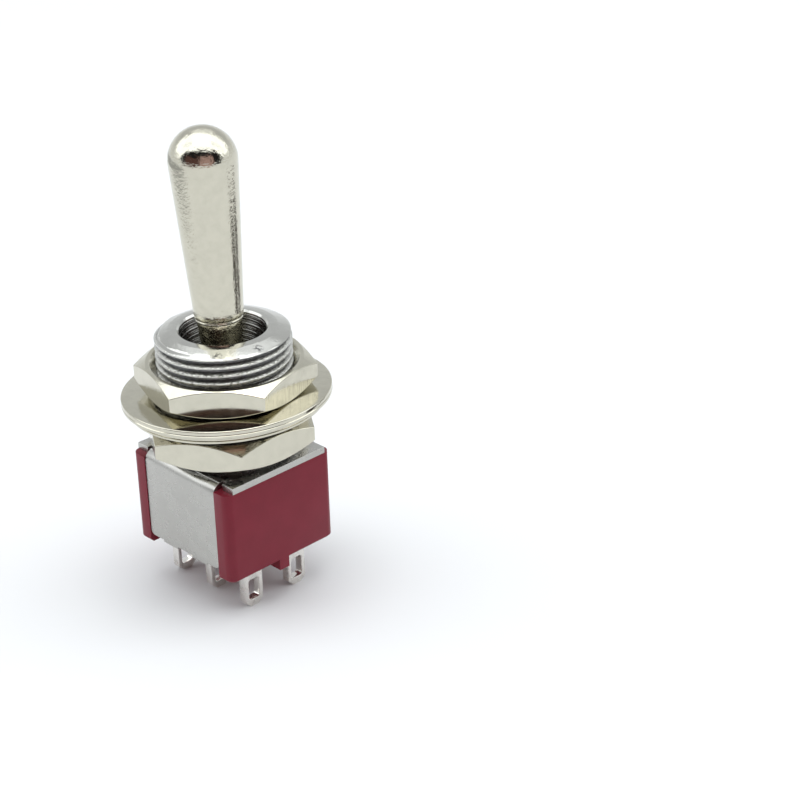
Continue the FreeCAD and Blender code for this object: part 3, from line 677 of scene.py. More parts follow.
@dataclass
class Bushing:
    """The turned and threaded bushing: a helical thread, a conical mouth and a keyway."""

    columns: int = 192
    rows_per_turn: int = 12
    arc_steps: int = 12
    thread_radius: float = 6.0 * MM
    thread_pitch: float = 0.75 * MM
    thread_depth: float = 0.46 * MM
    crest_share: float = 0.12
    root_share: float = 0.36
    thread_start: float = 0.25
    chamfer_bulge: float = 0.05 * MM
    chamfer_width: float = 1.25 * MM
    chamfer_height: float = 0.45 * MM
    foot_chamfer: float = 0.4 * MM
    mouth_radius: float = 3.82 * MM
    mouth_edge: float = 0.16 * MM
    throat_radius: float = 2.75 * MM
    seat_radius: float = 3.15 * MM
    bore_radius: float = 3.4 * MM
    bore_depth: float = 3.1 * MM
    spigot_radius: float = 4.05 * MM
    stake_radius: float = 4.35 * MM
    stake_height: float = 0.5 * MM
    keyway_width: float = 1.9 * MM
    keyway_depth: float = 0.62 * MM
    pin_slot_half_width: float = 0.65 * MM
    pin_slot_half_length: float = 3.7 * MM
    plate_top: float = field(init=False)
    sheet: float = field(init=False)
    top: float = field(init=False)
    pivot: Vector = field(init=False)

    def __post_init__(self) -> None:
        """Take the levels from the frame."""
        foot, self.top = levels("bushing")
        self.plate_top = levels("frame")[1]
        self.sheet = self.plate_top - foot - self.stake_height
        hinge = next(joint for joint in frame["joints"] if joint["name"] == "lever_hinge")
        self.pivot = Vector(hinge["pos_m"])

    def thread(self, material: bpy.types.Material) -> bpy.types.Mesh:
        """Wrap a sheet of points round the axis along a helix, with the thread's section.

        Args:
            material: the finish that the tree sets.

        Returns:
            The thread's outer surface, open at both ends.
        """
        tree = ShapeTree("bushing_thread")
        radius = tree.size("Thread Radius", self.thread_radius)
        depth = tree.size("Thread Depth", self.thread_depth)
        pitch = tree.size("Pitch", self.thread_pitch)
        foot = tree.size("Foot", self.plate_top)
        top = tree.size("Top", self.top)
        start = tree.size("Start", self.thread_start)
        top_edge = tree.size("Top Edge Radius", self.thread_radius - self.chamfer_width)
        bulge = tree.size("Top Bulge", self.chamfer_bulge)
        top_slope = tree.size("Top Slope", self.chamfer_width / self.chamfer_height)
        top_fall = tree.size("Top Fall", self.chamfer_height)
        foot_chamfer = tree.size("Foot Chamfer", self.foot_chamfer)
        turn_count = math.ceil((self.top - self.plate_top) / self.thread_pitch) + 1
        turns = tree.size("Turns", turn_count, "NodeSocketInt")
        rows = tree.size("Rows Per Turn", self.rows_per_turn, "NodeSocketInt")
        columns = tree.size("Columns", self.columns, "NodeSocketInt")

        row_count = tree.maths("MULTIPLY", turns, rows)
        grid = tree.add("GeometryNodeMeshGrid", {
            "Size X": 1.0, "Size Y": 1.0, "Vertices X": tree.maths("ADD", columns, 1.0),
            "Vertices Y": tree.maths("ADD", row_count, 1.0)})
        spot = tree.add("ShaderNodeSeparateXYZ", {0: tree.add("GeometryNodeInputPosition").outputs[0]})
        around = tree.maths("ADD", spot.outputs["X"], 0.5)
        along = tree.maths("ADD", spot.outputs["Y"], 0.5)
        row = tree.maths("ROUND", tree.maths("MULTIPLY", along, row_count))
        height = tree.maths("ADD", tree.maths("DIVIDE", row, rows), around)
        shift = tree.maths("ADD", start, 1.0)
        climb = tree.maths("MULTIPLY", tree.maths("SUBTRACT", height, shift), pitch)
        level = tree.maths("MINIMUM", tree.maths("ADD", foot, climb), top)
        level = tree.maths("MAXIMUM", level, foot)

        phase = tree.maths("DIVIDE", tree.maths("FLOORED_MODULO", row, rows), rows)
        from_crest = tree.maths("MINIMUM", phase, tree.maths("SUBTRACT", 1.0, phase))
        sunk = tree.remap(from_crest, self.crest_share, self.root_share)
        section = tree.maths("SUBTRACT", radius, tree.maths("MULTIPLY", sunk, depth))
        below = tree.maths("SUBTRACT", top, level)
        slope = tree.maths("ADD", top_edge, tree.maths("MULTIPLY", below, top_slope))
        share = tree.remap(tree.maths("DIVIDE", below, top_fall), 0.0, 1.0)
        arch = tree.maths("MULTIPLY", share, tree.maths("SUBTRACT", 1.0, share))
        rounding = tree.maths("MULTIPLY", tree.maths("MULTIPLY", arch, 4.0), bulge)
        upper = tree.maths("ADD", slope, rounding)
        foot_edge = tree.maths("SUBTRACT", radius, foot_chamfer)
        lower = tree.maths("ADD", foot_edge, tree.maths("SUBTRACT", level, foot))
        reach = tree.maths("MINIMUM", section, tree.maths("MINIMUM", upper, lower))

        angle = tree.maths("MULTIPLY", around, FULL_TURN)
        wrapped = tree.add("ShaderNodeCombineXYZ", {
            "X": tree.maths("MULTIPLY", reach, tree.maths("COSINE", angle)),
            "Y": tree.maths("MULTIPLY", reach, tree.maths("SINE", angle)), "Z": level})
        placed = tree.add("GeometryNodeSetPosition", {
            "Geometry": grid.outputs["Mesh"], "Position": wrapped.outputs[0]})
        return tree.made("thread", placed.outputs[0], material)

    def core(self) -> bpy.types.Mesh:
        """The rest of the turned surface, from the thread's top down the bore to its foot."""
        top_edge = self.thread_radius - self.chamfer_width
        foot_edge = self.thread_radius - self.foot_chamfer
        seat_angle = math.degrees(math.acos(self.throat_radius / self.seat_radius))
        seat = arc((0.0, self.pivot.z), self.seat_radius, seat_angle, 0.0, self.arc_steps)
        stake_foot = self.plate_top - self.sheet - self.stake_height
        bore_top = self.plate_top + self.bore_depth
        profile = [(top_edge, self.top), (self.mouth_radius + self.mouth_edge, self.top),
                   (self.mouth_radius, self.top - self.mouth_edge), *seat,
                   (self.seat_radius, bore_top), (self.bore_radius, bore_top),
                   (self.bore_radius, stake_foot), (self.stake_radius, stake_foot),
                   (self.stake_radius, self.plate_top - self.sheet),
                   (self.spigot_radius, self.plate_top - self.sheet),
                   (self.spigot_radius, self.plate_top), (foot_edge, self.plate_top)]
        return lathe(profile, self.columns)

    def cut_slots(self, piece: bpy.types.Object) -> None:
        """Cut the keyway down the thread, and the pin's slots inside the bore."""
        half = self.keyway_width / 2
        floor = self.keyway_depth - self.thread_radius
        outside = -2 * self.thread_radius
        keyway = [(outside, -half), (floor, -half), (floor, half), (outside, half)]
        cut(piece, prism(keyway, self.plate_top, 2 * self.top, lambda x, y, z: Vector((x, y, z))))
        wide = self.pin_slot_half_width
        crown = arc((0.0, self.pivot.z), wide, 0.0, 180.0, self.arc_steps)
        slot = [(-wide, 0.0), (wide, 0.0), *crown]
        length = self.pin_slot_half_length
        cut(piece, prism(slot, -length, length, lambda x, z, y: Vector((x, y, z))))

    def build(self, material: bpy.types.Material) -> bpy.types.Object:
        """Make the bushing.

        Args:
            material: its finish.

        Returns:
            The piece, riding on the housing.
        """
        piece = linked("bushing_shell", welded([self.thread(material), self.core()], "bushing"))
        self.cut_slots(piece)
        shade(piece.data, crease_angle=25.0)
        return mount_piece(piece, "housing", "nickel_plate", material, "bushing")


@dataclass
class HexNut:
    """A hexagon nut, chamfered on both faces and countersunk at both ends of its bore."""

    node: str
    turn: float
    flats: float = 14.0 * MM
    face_inset: float = 0.1 * MM
    chamfer_angle: float = 30.0
    bore_radius: float = 6.03 * MM
    countersink: float = 0.57 * MM
    edge: float = 0.07 * MM
    sides: int = 6
    steps_per_side: int = 24

    def build(self, material: bpy.types.Material) -> bpy.types.Object:
        """Make the nut.

        Args:
            material: its finish.

        Returns:
            The piece, riding on the housing.
        """
        low, high = levels(self.node)
        tall = high - low
        face = self.flats / 2 - self.face_inset
        slope = math.tan(math.radians(self.chamfer_angle))
        columns = self.sides * self.steps_per_side
        side_turn = FULL_TURN / self.sides
        points = []
        for column in range(columns):
            angle = FULL_TURN * column / columns
            off_middle = (angle + side_turn / 2) % side_turn - side_turn / 2
            side = self.flats / 2 / math.cos(off_middle)
            drop = (side - face) * slope
            section = [(self.bore_radius, self.countersink),
                       (self.bore_radius + self.countersink, 0.0), (face, 0.0), (side, drop),
                       (side, tall - drop), (face, tall),
                       (self.bore_radius + self.countersink, tall),
                       (self.bore_radius, tall - self.countersink)]
            points += [(r * math.cos(angle), r * math.sin(angle), z) for r, z in section]
        rows = len(section)
        faces = []
        for column in range(columns):
            here, after = rows * column, rows * ((column + 1) % columns)
            for row in range(rows):
                ahead = (row + 1) % rows
                faces.append([here + row, after + row, after + ahead, here + ahead])
        mesh = bpy.data.meshes.new(self.node)
        mesh.from_pydata(points, [], faces)
        first_side = math.radians(self.turn + 180.0 / self.sides)
        mesh.transform(Matrix.Translation((0, 0, low)) @ Matrix.Rotation(first_side, 4, "Z"))
        piece = linked(self.node + "_body", welded([mesh], self.node))
        round_edges(piece, self.edge, angle=20.0, segments=2)
        return mount_piece(piece, "housing", "nickel_plate", material, self.node)


@dataclass
class Washers:
    """The flat washer and the lock washer under it, both tilted between the nuts."""

    tilt: float = 2.3
    flat_bore: float = 6.2 * MM
    flat_width: float = 3.1 * MM
    flat_thickness: float = 0.75 * MM
    flat_edge: float = 0.12 * MM
    rim_groove: float = 0.06 * MM
    groove_level: float = 0.45
    lock_root: float = 7.2 * MM
    lock_width: float = 1.45 * MM
    lock_thickness: float = 0.55 * MM
    lock_edge: float = 0.08 * MM
    lock_slip: float = 0.2 * MM
    tooth_count: int = 10
    tooth_half_width: float = 1.0 * MM
    tooth_foot: Point = (6.4 * MM, 6.9 * MM)
    tooth_root: float = 0.5 * MM
    columns: int = 256

    def placed(self, mesh: bpy.types.Mesh, depth: float, slip: float = 0.0) -> bpy.types.Mesh:
        """Tilt a mesh and set it down a depth under the flat washer's middle."""
        tilt = math.radians(self.tilt)
        turned = Matrix.Rotation(-tilt, 4, "Y")
        moved = Matrix.Translation((slip / math.cos(tilt), -slip, -depth))
        mesh.transform(Matrix.Translation(middle("flat_washer")) @ turned @ moved)
        return mesh

    def ring(self, bore: float, width: float, thickness: float, edge: float) -> bpy.types.Mesh:
        """A flat ring with rounded rims, its foot at the origin's level."""
        rim = bore + width
        groove, waist = self.rim_groove, self.groove_level * thickness
        profile = eased([(bore, thickness / 2, 0.0), (bore, thickness, edge),
                         (rim, thickness, edge), (rim, waist + groove, 0.0),
                         (rim - groove, waist, 0.0), (rim, waist - groove, 0.0), (rim, 0.0, edge),
                         (bore, 0.0, edge), (bore, thickness / 2, 0.0)])
        return lathe(profile[:-1], self.columns, closed=True)

    def build_flat(self, material: bpy.types.Material) -> bpy.types.Object:
        """Make the flat washer and return it."""
        mesh = self.ring(self.flat_bore, self.flat_width, self.flat_thickness, self.flat_edge)
        piece = linked("flat_washer_body", welded([self.placed(mesh, self.flat_thickness / 2)], "ring"))
        shade(piece.data, crease_angle=40.0)
        return mount_piece(piece, "housing", "nickel_plate", material, "flat_washer")

    def tooth(self, drop: float) -> bpy.types.Mesh:
        """One bent tooth at +X, its root in the ring and its foot a drop lower."""
        root, held, thick = self.lock_root, self.lock_root + self.tooth_root, self.lock_thickness
        inner, outer = self.tooth_foot
        section = [(held, thick), (root, thick), (inner, thick - drop), (inner, -drop),
                   (outer, -drop), (root + self.tooth_root / 2, 0.0), (held, 0.0)]
        half = self.tooth_half_width
        return prism(section, -half, half, lambda x, z, y: Vector((x, y, z)))

    def tooth_drop(self, depth: float) -> float:
        """How far the teeth's feet hang under the ring, from the CAD node's lowest point."""
        tilt = math.radians(self.tilt)
        origin = (middle("flat_washer").z - depth * math.cos(tilt)
                  + self.lock_slip * math.tan(tilt))
        lowest = levels("lock_washer")[0]
        return (origin - self.tooth_foot[1] * math.sin(tilt) - lowest) / math.cos(tilt)

    def build_lock(self, material: bpy.types.Material) -> bpy.types.Object:
        """Make the lock washer: a ring, and its bent tooth repeated round the axis.

        Args:
            material: its finish.

        Returns:
            The piece, riding on the housing.
        """
        depth = self.flat_thickness / 2 + self.lock_thickness
        model = linked("tooth", self.tooth(self.tooth_drop(depth)))
        tree = ShapeTree("lock_teeth")
        count = tree.size("Teeth", self.tooth_count, "NodeSocketInt")
        shape = tree.size("Tooth", model, "NodeSocketObject")
        circle = tree.add("GeometryNodeMeshCircle", {"Vertices": count, "Radius": 0.0})
        index = tree.add("GeometryNodeInputIndex").outputs[0]
        step = tree.maths("DIVIDE", FULL_TURN, count)
        turn = tree.add("ShaderNodeCombineXYZ", {"Z": tree.maths("MULTIPLY", index, step)})
        tooth = tree.add("GeometryNodeObjectInfo", {"Object": shape})
        copies = tree.add("GeometryNodeInstanceOnPoints", {
            "Points": circle.outputs[0], "Instance": tooth.outputs["Geometry"],
            "Rotation": turn.outputs[0]})
        teeth = tree.made("teeth", copies.outputs[0], material)
        bpy.data.objects.remove(model)
        ring = self.ring(self.lock_root, self.lock_width, self.lock_thickness, self.lock_edge)
        meshes = [welded([self.placed(part, depth, self.lock_slip)], part.name)
                  for part in (teeth, ring)]
        piece = linked("lock_washer_body", released(gathered(meshes), "lock_washer"))
        shade(piece.data, crease_angle=40.0)
        return mount_piece(piece, "housing", "nickel_plate", material, "lock_washer")


@dataclass
class BatLever:
    """The turned lever: tapered bat, domed tip, neck, pivot ball and hollow shank."""

    columns: int = 160
    tip_radius: float = 2.985 * MM
    tip_height: float = 21.03 * MM
    bat_foot_radius: float = 2.22 * MM
    bat_foot_height: float = 8.0 * MM
    bat_edge_height: float = 6.75 * MM
    bat_edge_round: float = 4.5 * MM
    bead_radius: float = 0.17 * MM
    bead_height: float = 0.2 * MM
    bead_bulge: float = 0.045 * MM
    bead_span: Point = (-70.0, 55.0)
    bead_cover: float = 0.8
    neck_top_radius: float = 1.98 * MM
    neck_step: float = 0.1 * MM
    neck_foot_radius: float = 1.65 * MM
    ball_radius: float = 3.1 * MM
    shank_radius: float = 1.6 * MM
    shank_length: float = 6.9 * MM
    spring_bore_radius: float = 1.05 * MM
    spring_bore_roof: float = 1.2 * MM
    support: float = 0.03 * MM
    edge_steps: int = 12
    ball_steps: int = 16
    dome_steps: int = 24
    bead_steps: int = 8
    pivot: Vector = field(init=False)
    lean: float = field(init=False)

    def __post_init__(self) -> None:
        """Take the pivot and the lean from the joints."""
        joints = {joint["name"]: joint for joint in frame["joints"]}
        self.pivot = Vector(joints["lever_hinge"]["pos_m"])
        along = joints["actuator_slide"]["axis"]
        self.lean = math.atan2(along[0], along[2])

    def profile(self) -> list[Point]:
        """The lever's half section about its own axis, from the spring bore up to the tip."""
        fall = self.bat_foot_height - self.bat_edge_height
        edge_angle = -math.degrees(math.asin(fall / self.bat_edge_round))
        edge_centre = (self.bat_foot_radius - self.bat_edge_round, self.bat_foot_height)
        edge = arc(edge_centre, self.bat_edge_round, edge_angle, 0.0, self.edge_steps)
        ball_foot = -math.sqrt(self.ball_radius ** 2 - self.shank_radius ** 2)
        high = math.degrees(math.acos(self.neck_foot_radius / self.ball_radius))
        ball = arc((0.0, 0.0), self.ball_radius, 0.0, high, self.ball_steps)
        dome = arc((0.0, self.tip_height), self.tip_radius, 0.0, 90.0, self.dome_steps)
        slope = (self.tip_radius - self.bat_foot_radius) / (self.tip_height - self.bat_foot_height)
        under_dome = (self.tip_radius - slope * self.support, self.tip_height - self.support)
        return [
            (0.0, -self.spring_bore_roof), (self.spring_bore_radius, -self.spring_bore_roof),
            (self.spring_bore_radius, -self.shank_length), (self.shank_radius, -self.shank_length),
            (self.shank_radius, ball_foot), *ball, *self.lip(edge), under_dome, *dome[:-1],
            (0.0, self.tip_height + self.tip_radius),
        ]

    def lip(self, edge: list[Point]) -> list[Point]:
        """The bat's lower edge: the neck's top, a small bead and the curve above it."""
        neck = (self.neck_top_radius, self.bat_edge_height - self.neck_step)
        centre = (edge[0][0] + self.bead_bulge - self.bead_radius,
                  self.bat_edge_height + self.bead_height)
        covered = centre[1] + self.bead_cover * self.bead_radius
        above = [point for point in edge if point[1] > covered]
        return [neck, *arc(centre, self.bead_radius, *self.bead_span, self.bead_steps), *above]

    def build(self, material: bpy.types.Material) -> bpy.types.Object:
        """Make the lever.

        Args:
            material: its finish.

        Returns:
            The piece, riding on the lever's body.
        """
        mesh = lathe(self.profile(), self.columns)
        mesh.transform(Matrix.Translation(self.pivot) @ Matrix.Rotation(self.lean, 4, "Y"))
        piece = linked("lever_bat", welded([mesh], "lever"))
        shade(piece.data, crease_angle=20.0)
        return mount_piece(piece, "lever", "lever_nickel", material, "lever")


@dataclass
class Housing:
    """The moulded case and the folded frame that holds it."""

    case_edge: float = 0.08 * MM
    sheet_edge: float = 0.07 * MM

    def build(self, plastic: bpy.types.Material, sheet: bpy.types.Material) -> None:
        """Make both shells.

        Args:
            plastic: the case's finish.
            sheet: the frame's finish.
        """
        case = rounded_copy("case", self.case_edge)
        mount_piece(case, "housing", "case_red", plastic, "case")
        plate = rounded_copy("frame", self.sheet_edge)
        mount_piece(plate, "housing", "frame_steel", sheet, "frame")


@dataclass
class Lugs:
    """The six solder lugs."""

    edge: float = 0.07 * MM

    def build(self, material: bpy.types.Material) -> None:
        """Make a rounded copy of each lug in one finish."""
        nodes = sorted(node for node in frame["nodes"] if "terminal" in node)
        for node in nodes:
            lug = rounded_copy(node, self.edge)
            mount_piece(lug, "housing", "terminal_silver", material, node)


@dataclass
class Mechanism:
    """The sealed inner pieces, which keep their CAD shapes."""

    def dress(self, finishes: dict[str, bpy.types.Material]) -> None:
        """Give each inner node the finish of its record's slot.

        Args:
            finishes: a material for each slot's name.
        """
        for part in frame["record"]["subparts"]:
            material = finishes.get(part["material_slot"])
            node = frame["nodes"][part["node"]]
            if material is None or node.hide_render:
                continue
            node.data.materials.clear()
            node.data.materials.append(material)
            log.info("%s: dressed in %s", node.name, material.name)


@dataclass
class Studio:
    """The pale floor, the soft light above it, the room round it and the camera."""

    floor_half: float = 3.0
    floor_tint: Colour = (0.695, 0.700, 0.708)
    floor_reflectance: float = 0.1
    stage_roughness: float = 0.9
    softbox_size: Point = (0.30, 0.20)
    softbox_at: tuple[float, float, float] = (0.02, 0.0, 0.45)
    softbox_power: float = 0.46
    wall_light: float = 0.68
    wall_tint: Colour = (0.97, 1.0, 1.02)
    wall_fade: Point = (0.05, 0.4)
    horizon_light: float = 0.95
    strip_light: float = 1.35
    strip_pitch: Point = (49.0, 115.0)
    strip_spread: float = 30.0
    strip_softness: Point = (2.0, 1.5)
    strip_fade: Point = (0.14, 0.30)
    strip_gap: Point = (82.0, 86.5)
    gap_softness: float = 2.0
    gap_depth: float = 0.85
    panel_light: float = 0.5
    panel_pitch: Point = (113.0, 138.0)
    panel_half_width: float = 0.36
    panel_softness: Point = (3.0, 0.1)
    camera_at: tuple[float, float, float] = (122.228 * MM, -97.981 * MM, 93.975 * MM)
    azimuth: float = 45.72
    elevation: float = 26.17
    roll: float = -1.53
    lens: float = 88.6
    sensor: float = 36.0
    dark_zone_middle: Point = (1.0, 17.0)
    dark_zone_half: Point = (72.0, 33.0)
    dark_zone_edge: Point = (1.05, 0.95)
    dark_zone_colour: Colour = (0.014, 0.014, 0.015)
    brown_patch: tuple[Colour, Point, Point] = ((0.12, 0.062, 0.055), (-56.0, -8.0), (-5.0, 26.0))
    pink_patch: tuple[Colour, Point, Point] = ((0.52, 0.35, 0.33), (-4.0, 38.0), (-1.0, 29.0))
    patch_softness: Point = (8.0, 5.0)
    dark_card_reach: float = 52.0 * MM
    dark_card_height: float = 16.5 * MM
    dark_card_spans: tuple[Point, ...] = ((88.0, 104.0), (109.0, 122.0))
    dark_card_colour: Colour = (0.05, 0.04, 0.034)
    far_floor_across: Point = (88.0 * MM, 260.0 * MM)
    far_floor_along: Point = (70.0 * MM, -200.0 * MM)
    far_floor_lift: float = 1 * MM
    far_floor_colour: Colour = (0.30, 0.305, 0.31)

    def __post_init__(self) -> None:
        """Work out the directions towards the camera and to its right."""
        heading = math.radians(self.azimuth)
        self.towards = Vector((math.sin(heading), -math.cos(heading), 0.0))
        self.right = Vector((math.cos(heading), math.sin(heading), 0.0))

    def build_floor(self) -> None:
        """Lay the floor at the level of the terminal tips."""
        half = self.floor_half
        mesh = bpy.data.meshes.new("floor")
        mesh.from_pydata([(-half, -half, 0), (half, -half, 0), (half, half, 0), (-half, half, 0)],
                         [], [(0, 1, 2, 3)])
        floor = linked("floor", mesh)
        material, _, shader = blank_material("pale_floor")
        shader.inputs["Base Color"].default_value = (*self.floor_tint, 1.0)
        shader.inputs["Roughness"].default_value = self.stage_roughness
        shader.inputs["Specular IOR Level"].default_value = self.floor_reflectance
        mesh.materials.append(material)

    def build_light(self) -> None:
        """Hang the softbox over the switch."""
        lamp = bpy.data.lights.new("softbox", "AREA")
        lamp.shape = "RECTANGLE"
        lamp.size, lamp.size_y = self.softbox_size
        lamp.energy = self.softbox_power
        box = bpy.data.objects.new("softbox", lamp)
        box.location = self.softbox_at
        box.rotation_euler = (0.0, 0.0, math.radians(self.azimuth))
        bpy.context.scene.collection.objects.link(box)

    def build_card(self, name: str, corners: Sequence[Vector], tint: Colour) -> None:
        """Set a card that only reflections show."""
        mesh = bpy.data.meshes.new(name)
        mesh.from_pydata(corners, [], [tuple(range(len(corners)))])
        card = linked(name, mesh)
        material, _, shader = blank_material(name)
        shader.inputs["Base Color"].default_value = (*tint, 1.0)
        shader.inputs["Roughness"].default_value = self.stage_roughness
        mesh.materials.append(material)
        card.visible_camera = card.visible_shadow = card.visible_diffuse = False

    def build_surroundings(self) -> None:
        """Set dark cards to the switch's right, and a grey one over the far floor to its left."""
        rise = Vector((0.0, 0.0, self.dark_card_height))
        for number, span in enumerate(self.dark_card_spans):
            foot = [self.right * self.dark_card_reach
                    + self.towards * (self.dark_card_reach / math.tan(math.radians(bearing)))
                    for bearing in span]
            self.build_card(f"dark_card_{number}", [*foot, foot[1] + rise, foot[0] + rise],
                            self.dark_card_colour)
        near, far = self.far_floor_across
        front, back = self.far_floor_along
        lift = Vector((0.0, 0.0, self.far_floor_lift))
        corners = [self.right * -across + self.towards * along + lift for across, along in (
            (near, front), (near, back), (far, back), (far, front))]
        self.build_card("grey_card", corners, self.far_floor_colour)

    def build_room(self) -> None:
        """Light the surroundings: pale walls, light strips overhead and a dark zone in front."""
        world = bpy.data.worlds.new("room")
        world.use_nodes = True
        bpy.context.scene.world = world
        wiring = Wiring(world.node_tree)
        background = world.node_tree.nodes["Background"]
        way = wiring.add("ShaderNodeTexCoord").outputs["Generated"]
        height = wiring.add("ShaderNodeSeparateXYZ", {0: way}).outputs["Z"]
        ahead, aside = (
            wiring.add("ShaderNodeVectorMath", {0: way, 1: axis}, operation="DOT_PRODUCT").outputs["Value"]
            for axis in (self.towards, self.right))
        pitch = wiring.maths("DEGREES", wiring.maths("ARCTAN2", height, ahead))
        bearing = wiring.maths("DEGREES", wiring.maths("ARCTAN2", aside, ahead))
        climb = wiring.maths("DEGREES", wiring.maths("ARCSINE", height))

        walls = wiring.remap(height, *self.wall_fade, self.horizon_light, self.wall_light)
        strips = self.strips(wiring, pitch, aside, height)
        soft_pitch, soft_side = self.panel_softness
        half_width = self.panel_half_width
        panel = wiring.maths("MULTIPLY",
                             self.between(wiring, pitch, *self.panel_pitch, soft_pitch),
                             self.between(wiring, aside, -half_width, half_width, soft_side))
        level = wiring.maths("ADD", walls, wiring.maths("MULTIPLY", panel, self.panel_light))
        level = wiring.maths("ADD", level, wiring.maths("MULTIPLY", strips, self.strip_light))
        colour = wiring.add("ShaderNodeVectorMath", {0: self.wall_tint, "Scale": level},
                            operation="SCALE").outputs[0]

        across, upright = (
            wiring.maths("POWER", wiring.maths("DIVIDE", wiring.maths("SUBTRACT", value, centre), half), 2.0)
            for value, centre, half in zip((bearing, climb), self.dark_zone_middle,
                                           self.dark_zone_half))
        inside = wiring.remap(wiring.maths("ADD", across, upright), *self.dark_zone_edge)
        colour = wiring.mix(inside, colour, (*self.dark_zone_colour, 1.0))
        soft_wide, soft_tall = self.patch_softness
        for tint, wide, tall in (self.brown_patch, self.pink_patch):
            mask = wiring.maths("MULTIPLY", self.between(wiring, bearing, *wide, soft_wide),
                                self.between(wiring, climb, *tall, soft_tall))
            colour = wiring.mix(mask, colour, (*tint, 1.0))
        wiring.feed(background.inputs["Color"], colour)

    def strips(self, wiring: Wiring, pitch: bpy.types.NodeSocket, aside: bpy.types.NodeSocket,
               height: bpy.types.NodeSocket) -> bpy.types.NodeSocket:
        """A mask of the light strips overhead, parted by a dark joint.

        Args:
            wiring: the world's tree.
            pitch: the angle of a direction about the line from left to right.
            aside: how far the direction points to the right.
            height: how far it points up.

        Returns:
            The mask.
        """
        low, high = self.strip_pitch
        low_soft, high_soft = self.strip_softness
        rise = wiring.remap(pitch, low - low_soft, low + low_soft)
        bent = wiring.maths("MULTIPLY", wiring.maths("POWER", aside, 2.0), self.strip_spread)
        fall = wiring.remap(wiring.maths("SUBTRACT", pitch, bent), high + high_soft, high - high_soft)
        reach = wiring.remap(height, *self.strip_fade)
        joint = self.between(wiring, pitch, *self.strip_gap, self.gap_softness)
        gap = wiring.maths("MULTIPLY", joint, self.gap_depth)
        lit = wiring.maths("MULTIPLY", wiring.maths("MULTIPLY", rise, fall), reach)
        return wiring.maths("MULTIPLY", lit, wiring.maths("SUBTRACT", 1.0, gap))

    @staticmethod
    def between(wiring: Wiring, value: bpy.types.NodeSocket, low: float, high: float,
                soft: float) -> bpy.types.NodeSocket:
        """A mask that is 1 from one number to another, and fades out beyond them."""
        rise = wiring.remap(value, low - soft / 2, low + soft / 2)
        fall = wiring.remap(value, high + soft / 2, high - soft / 2)
        return wiring.maths("MULTIPLY", rise, fall)

    def build_camera(self) -> None:
        """Set the camera at the photograph's place and angle."""
        lens = bpy.data.cameras.new("camera")
        lens.lens = self.lens
        lens.sensor_width = self.sensor
        lens.sensor_fit = "HORIZONTAL"
        lens.clip_start = 5 * MM
        camera = bpy.data.objects.new("camera", lens)
        turned = (Matrix.Rotation(math.radians(self.azimuth), 4, "Z")
                  @ Matrix.Rotation(math.radians(90.0 - self.elevation), 4, "X")
                  @ Matrix.Rotation(math.radians(self.roll), 4, "Z"))
        camera.matrix_world = Matrix.Translation(self.camera_at) @ turned
        bpy.context.scene.collection.objects.link(camera)
        bpy.context.scene.camera = camera

    def build(self) -> None:
        """Set up the whole studio."""
        self.build_floor()
        self.build_light()
        self.build_surroundings()
        self.build_room()
        self.build_camera()
        bpy.context.scene.view_settings.view_transform = "Standard"


def nickel(name: str, roughness: float, kind: type[Metal] = Metal,
           tint: Colour = (0.612, 0.588, 0.492), **changes: Any) -> bpy.types.Material:
    """A bright nickel plate with its own roughness, tint and tool marks."""
    darker = tuple(SHADOW_SHARE * channel for channel in tint)
    return kind(name, tint, darker, roughness, **changes).build()


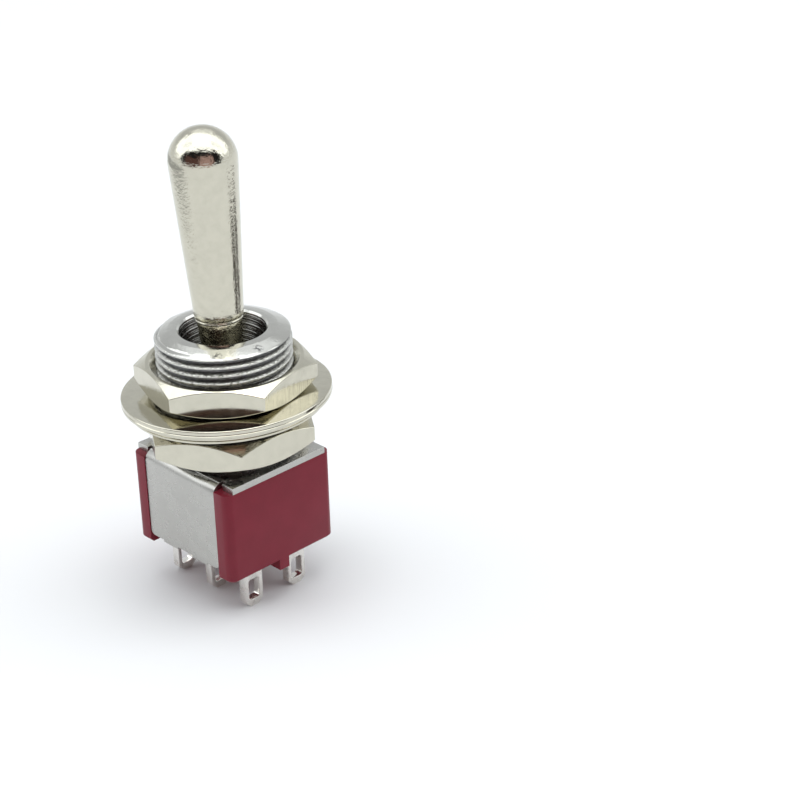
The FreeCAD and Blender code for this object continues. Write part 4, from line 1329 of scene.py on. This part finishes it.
def main() -> None:
    logging.basicConfig(level=logging.INFO, format="%(name)s: %(message)s")
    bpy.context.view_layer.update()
    Studio().build()

    turned = nickel("nickel_turned", 0.08, ThreadedMetal, (0.605, 0.60, 0.565),
                    marks=Marks.TURNED, mark_depth=0.002 * MM, peel_size=0.4 * MM,
                    peel_depth=0.012 * MM,
                    dents=((3.9 * MM, -3.95 * MM, 24.6 * MM), (5.35 * MM, -0.6 * MM, 24.7 * MM)))
    milled = nickel("nickel_milled", 0.09, marks=Marks.DRAWN, mark_pitch=0.16 * MM,
                    mark_depth=0.012 * MM)
    pressed = nickel("nickel_pressed", 0.08, marks=Marks.TURNED, mark_pitch=0.3 * MM,
                     mark_depth=0.003 * MM, peel_depth=0.01 * MM)
    Bushing().build(turned)
    HexNut("rear_nut", turn=27.4).build(milled)
    HexNut("front_nut", turn=43.8).build(milled)
    washers = Washers()
    washers.build_flat(pressed)
    washers.build_lock(pressed)

    lever = BatLever()
    satin = nickel("nickel_satin", 0.08, cloud_size=0.8 * MM, marks=Marks.TURNED,
                   mark_pitch=0.2 * MM, mark_depth=0.003 * MM, peel_depth=0.03 * MM,
                   axis_at=tuple(lever.pivot), axis_lean=lever.lean)
    lever.build(satin)

    plastic = Moulding("case_plastic", tint=(0.175, 0.0035, 0.017), worn_tint=(0.19, 0.005, 0.02),
                       roughness=0.4).build()
    sheet = Metal("frame_sheet", tint=(0.475, 0.468, 0.443), shadow_tint=(0.455, 0.448, 0.425),
                  roughness=0.26, rough_spread=0.03, cloud_size=1.4 * MM, peel_size=0.12 * MM,
                  peel_depth=0.004 * MM).build()
    silver = Metal("lug_silver", tint=(0.86, 0.84, 0.80), shadow_tint=(0.80, 0.775, 0.73),
                   roughness=0.22).build()
    Housing().build(plastic, sheet)
    Lugs().build(silver)
    Mechanism().dress({
        "spring_steel": Metal("spring_steel", (0.55, 0.55, 0.56), (0.50, 0.50, 0.51), 0.25).build(),
        "rocker_brass": Metal("rocker_brass", (0.75, 0.56, 0.26), (0.68, 0.50, 0.22), 0.3).build(),
        "contact_silver": Metal("contact_silver", (0.88, 0.87, 0.85), (0.82, 0.81, 0.79), 0.3).build(),
        "actuator_nylon": Moulding("actuator_nylon", (0.72, 0.70, 0.62), (0.76, 0.74, 0.67),
                                   0.5).build(),
    })


if __name__ == "__main__":
    main()
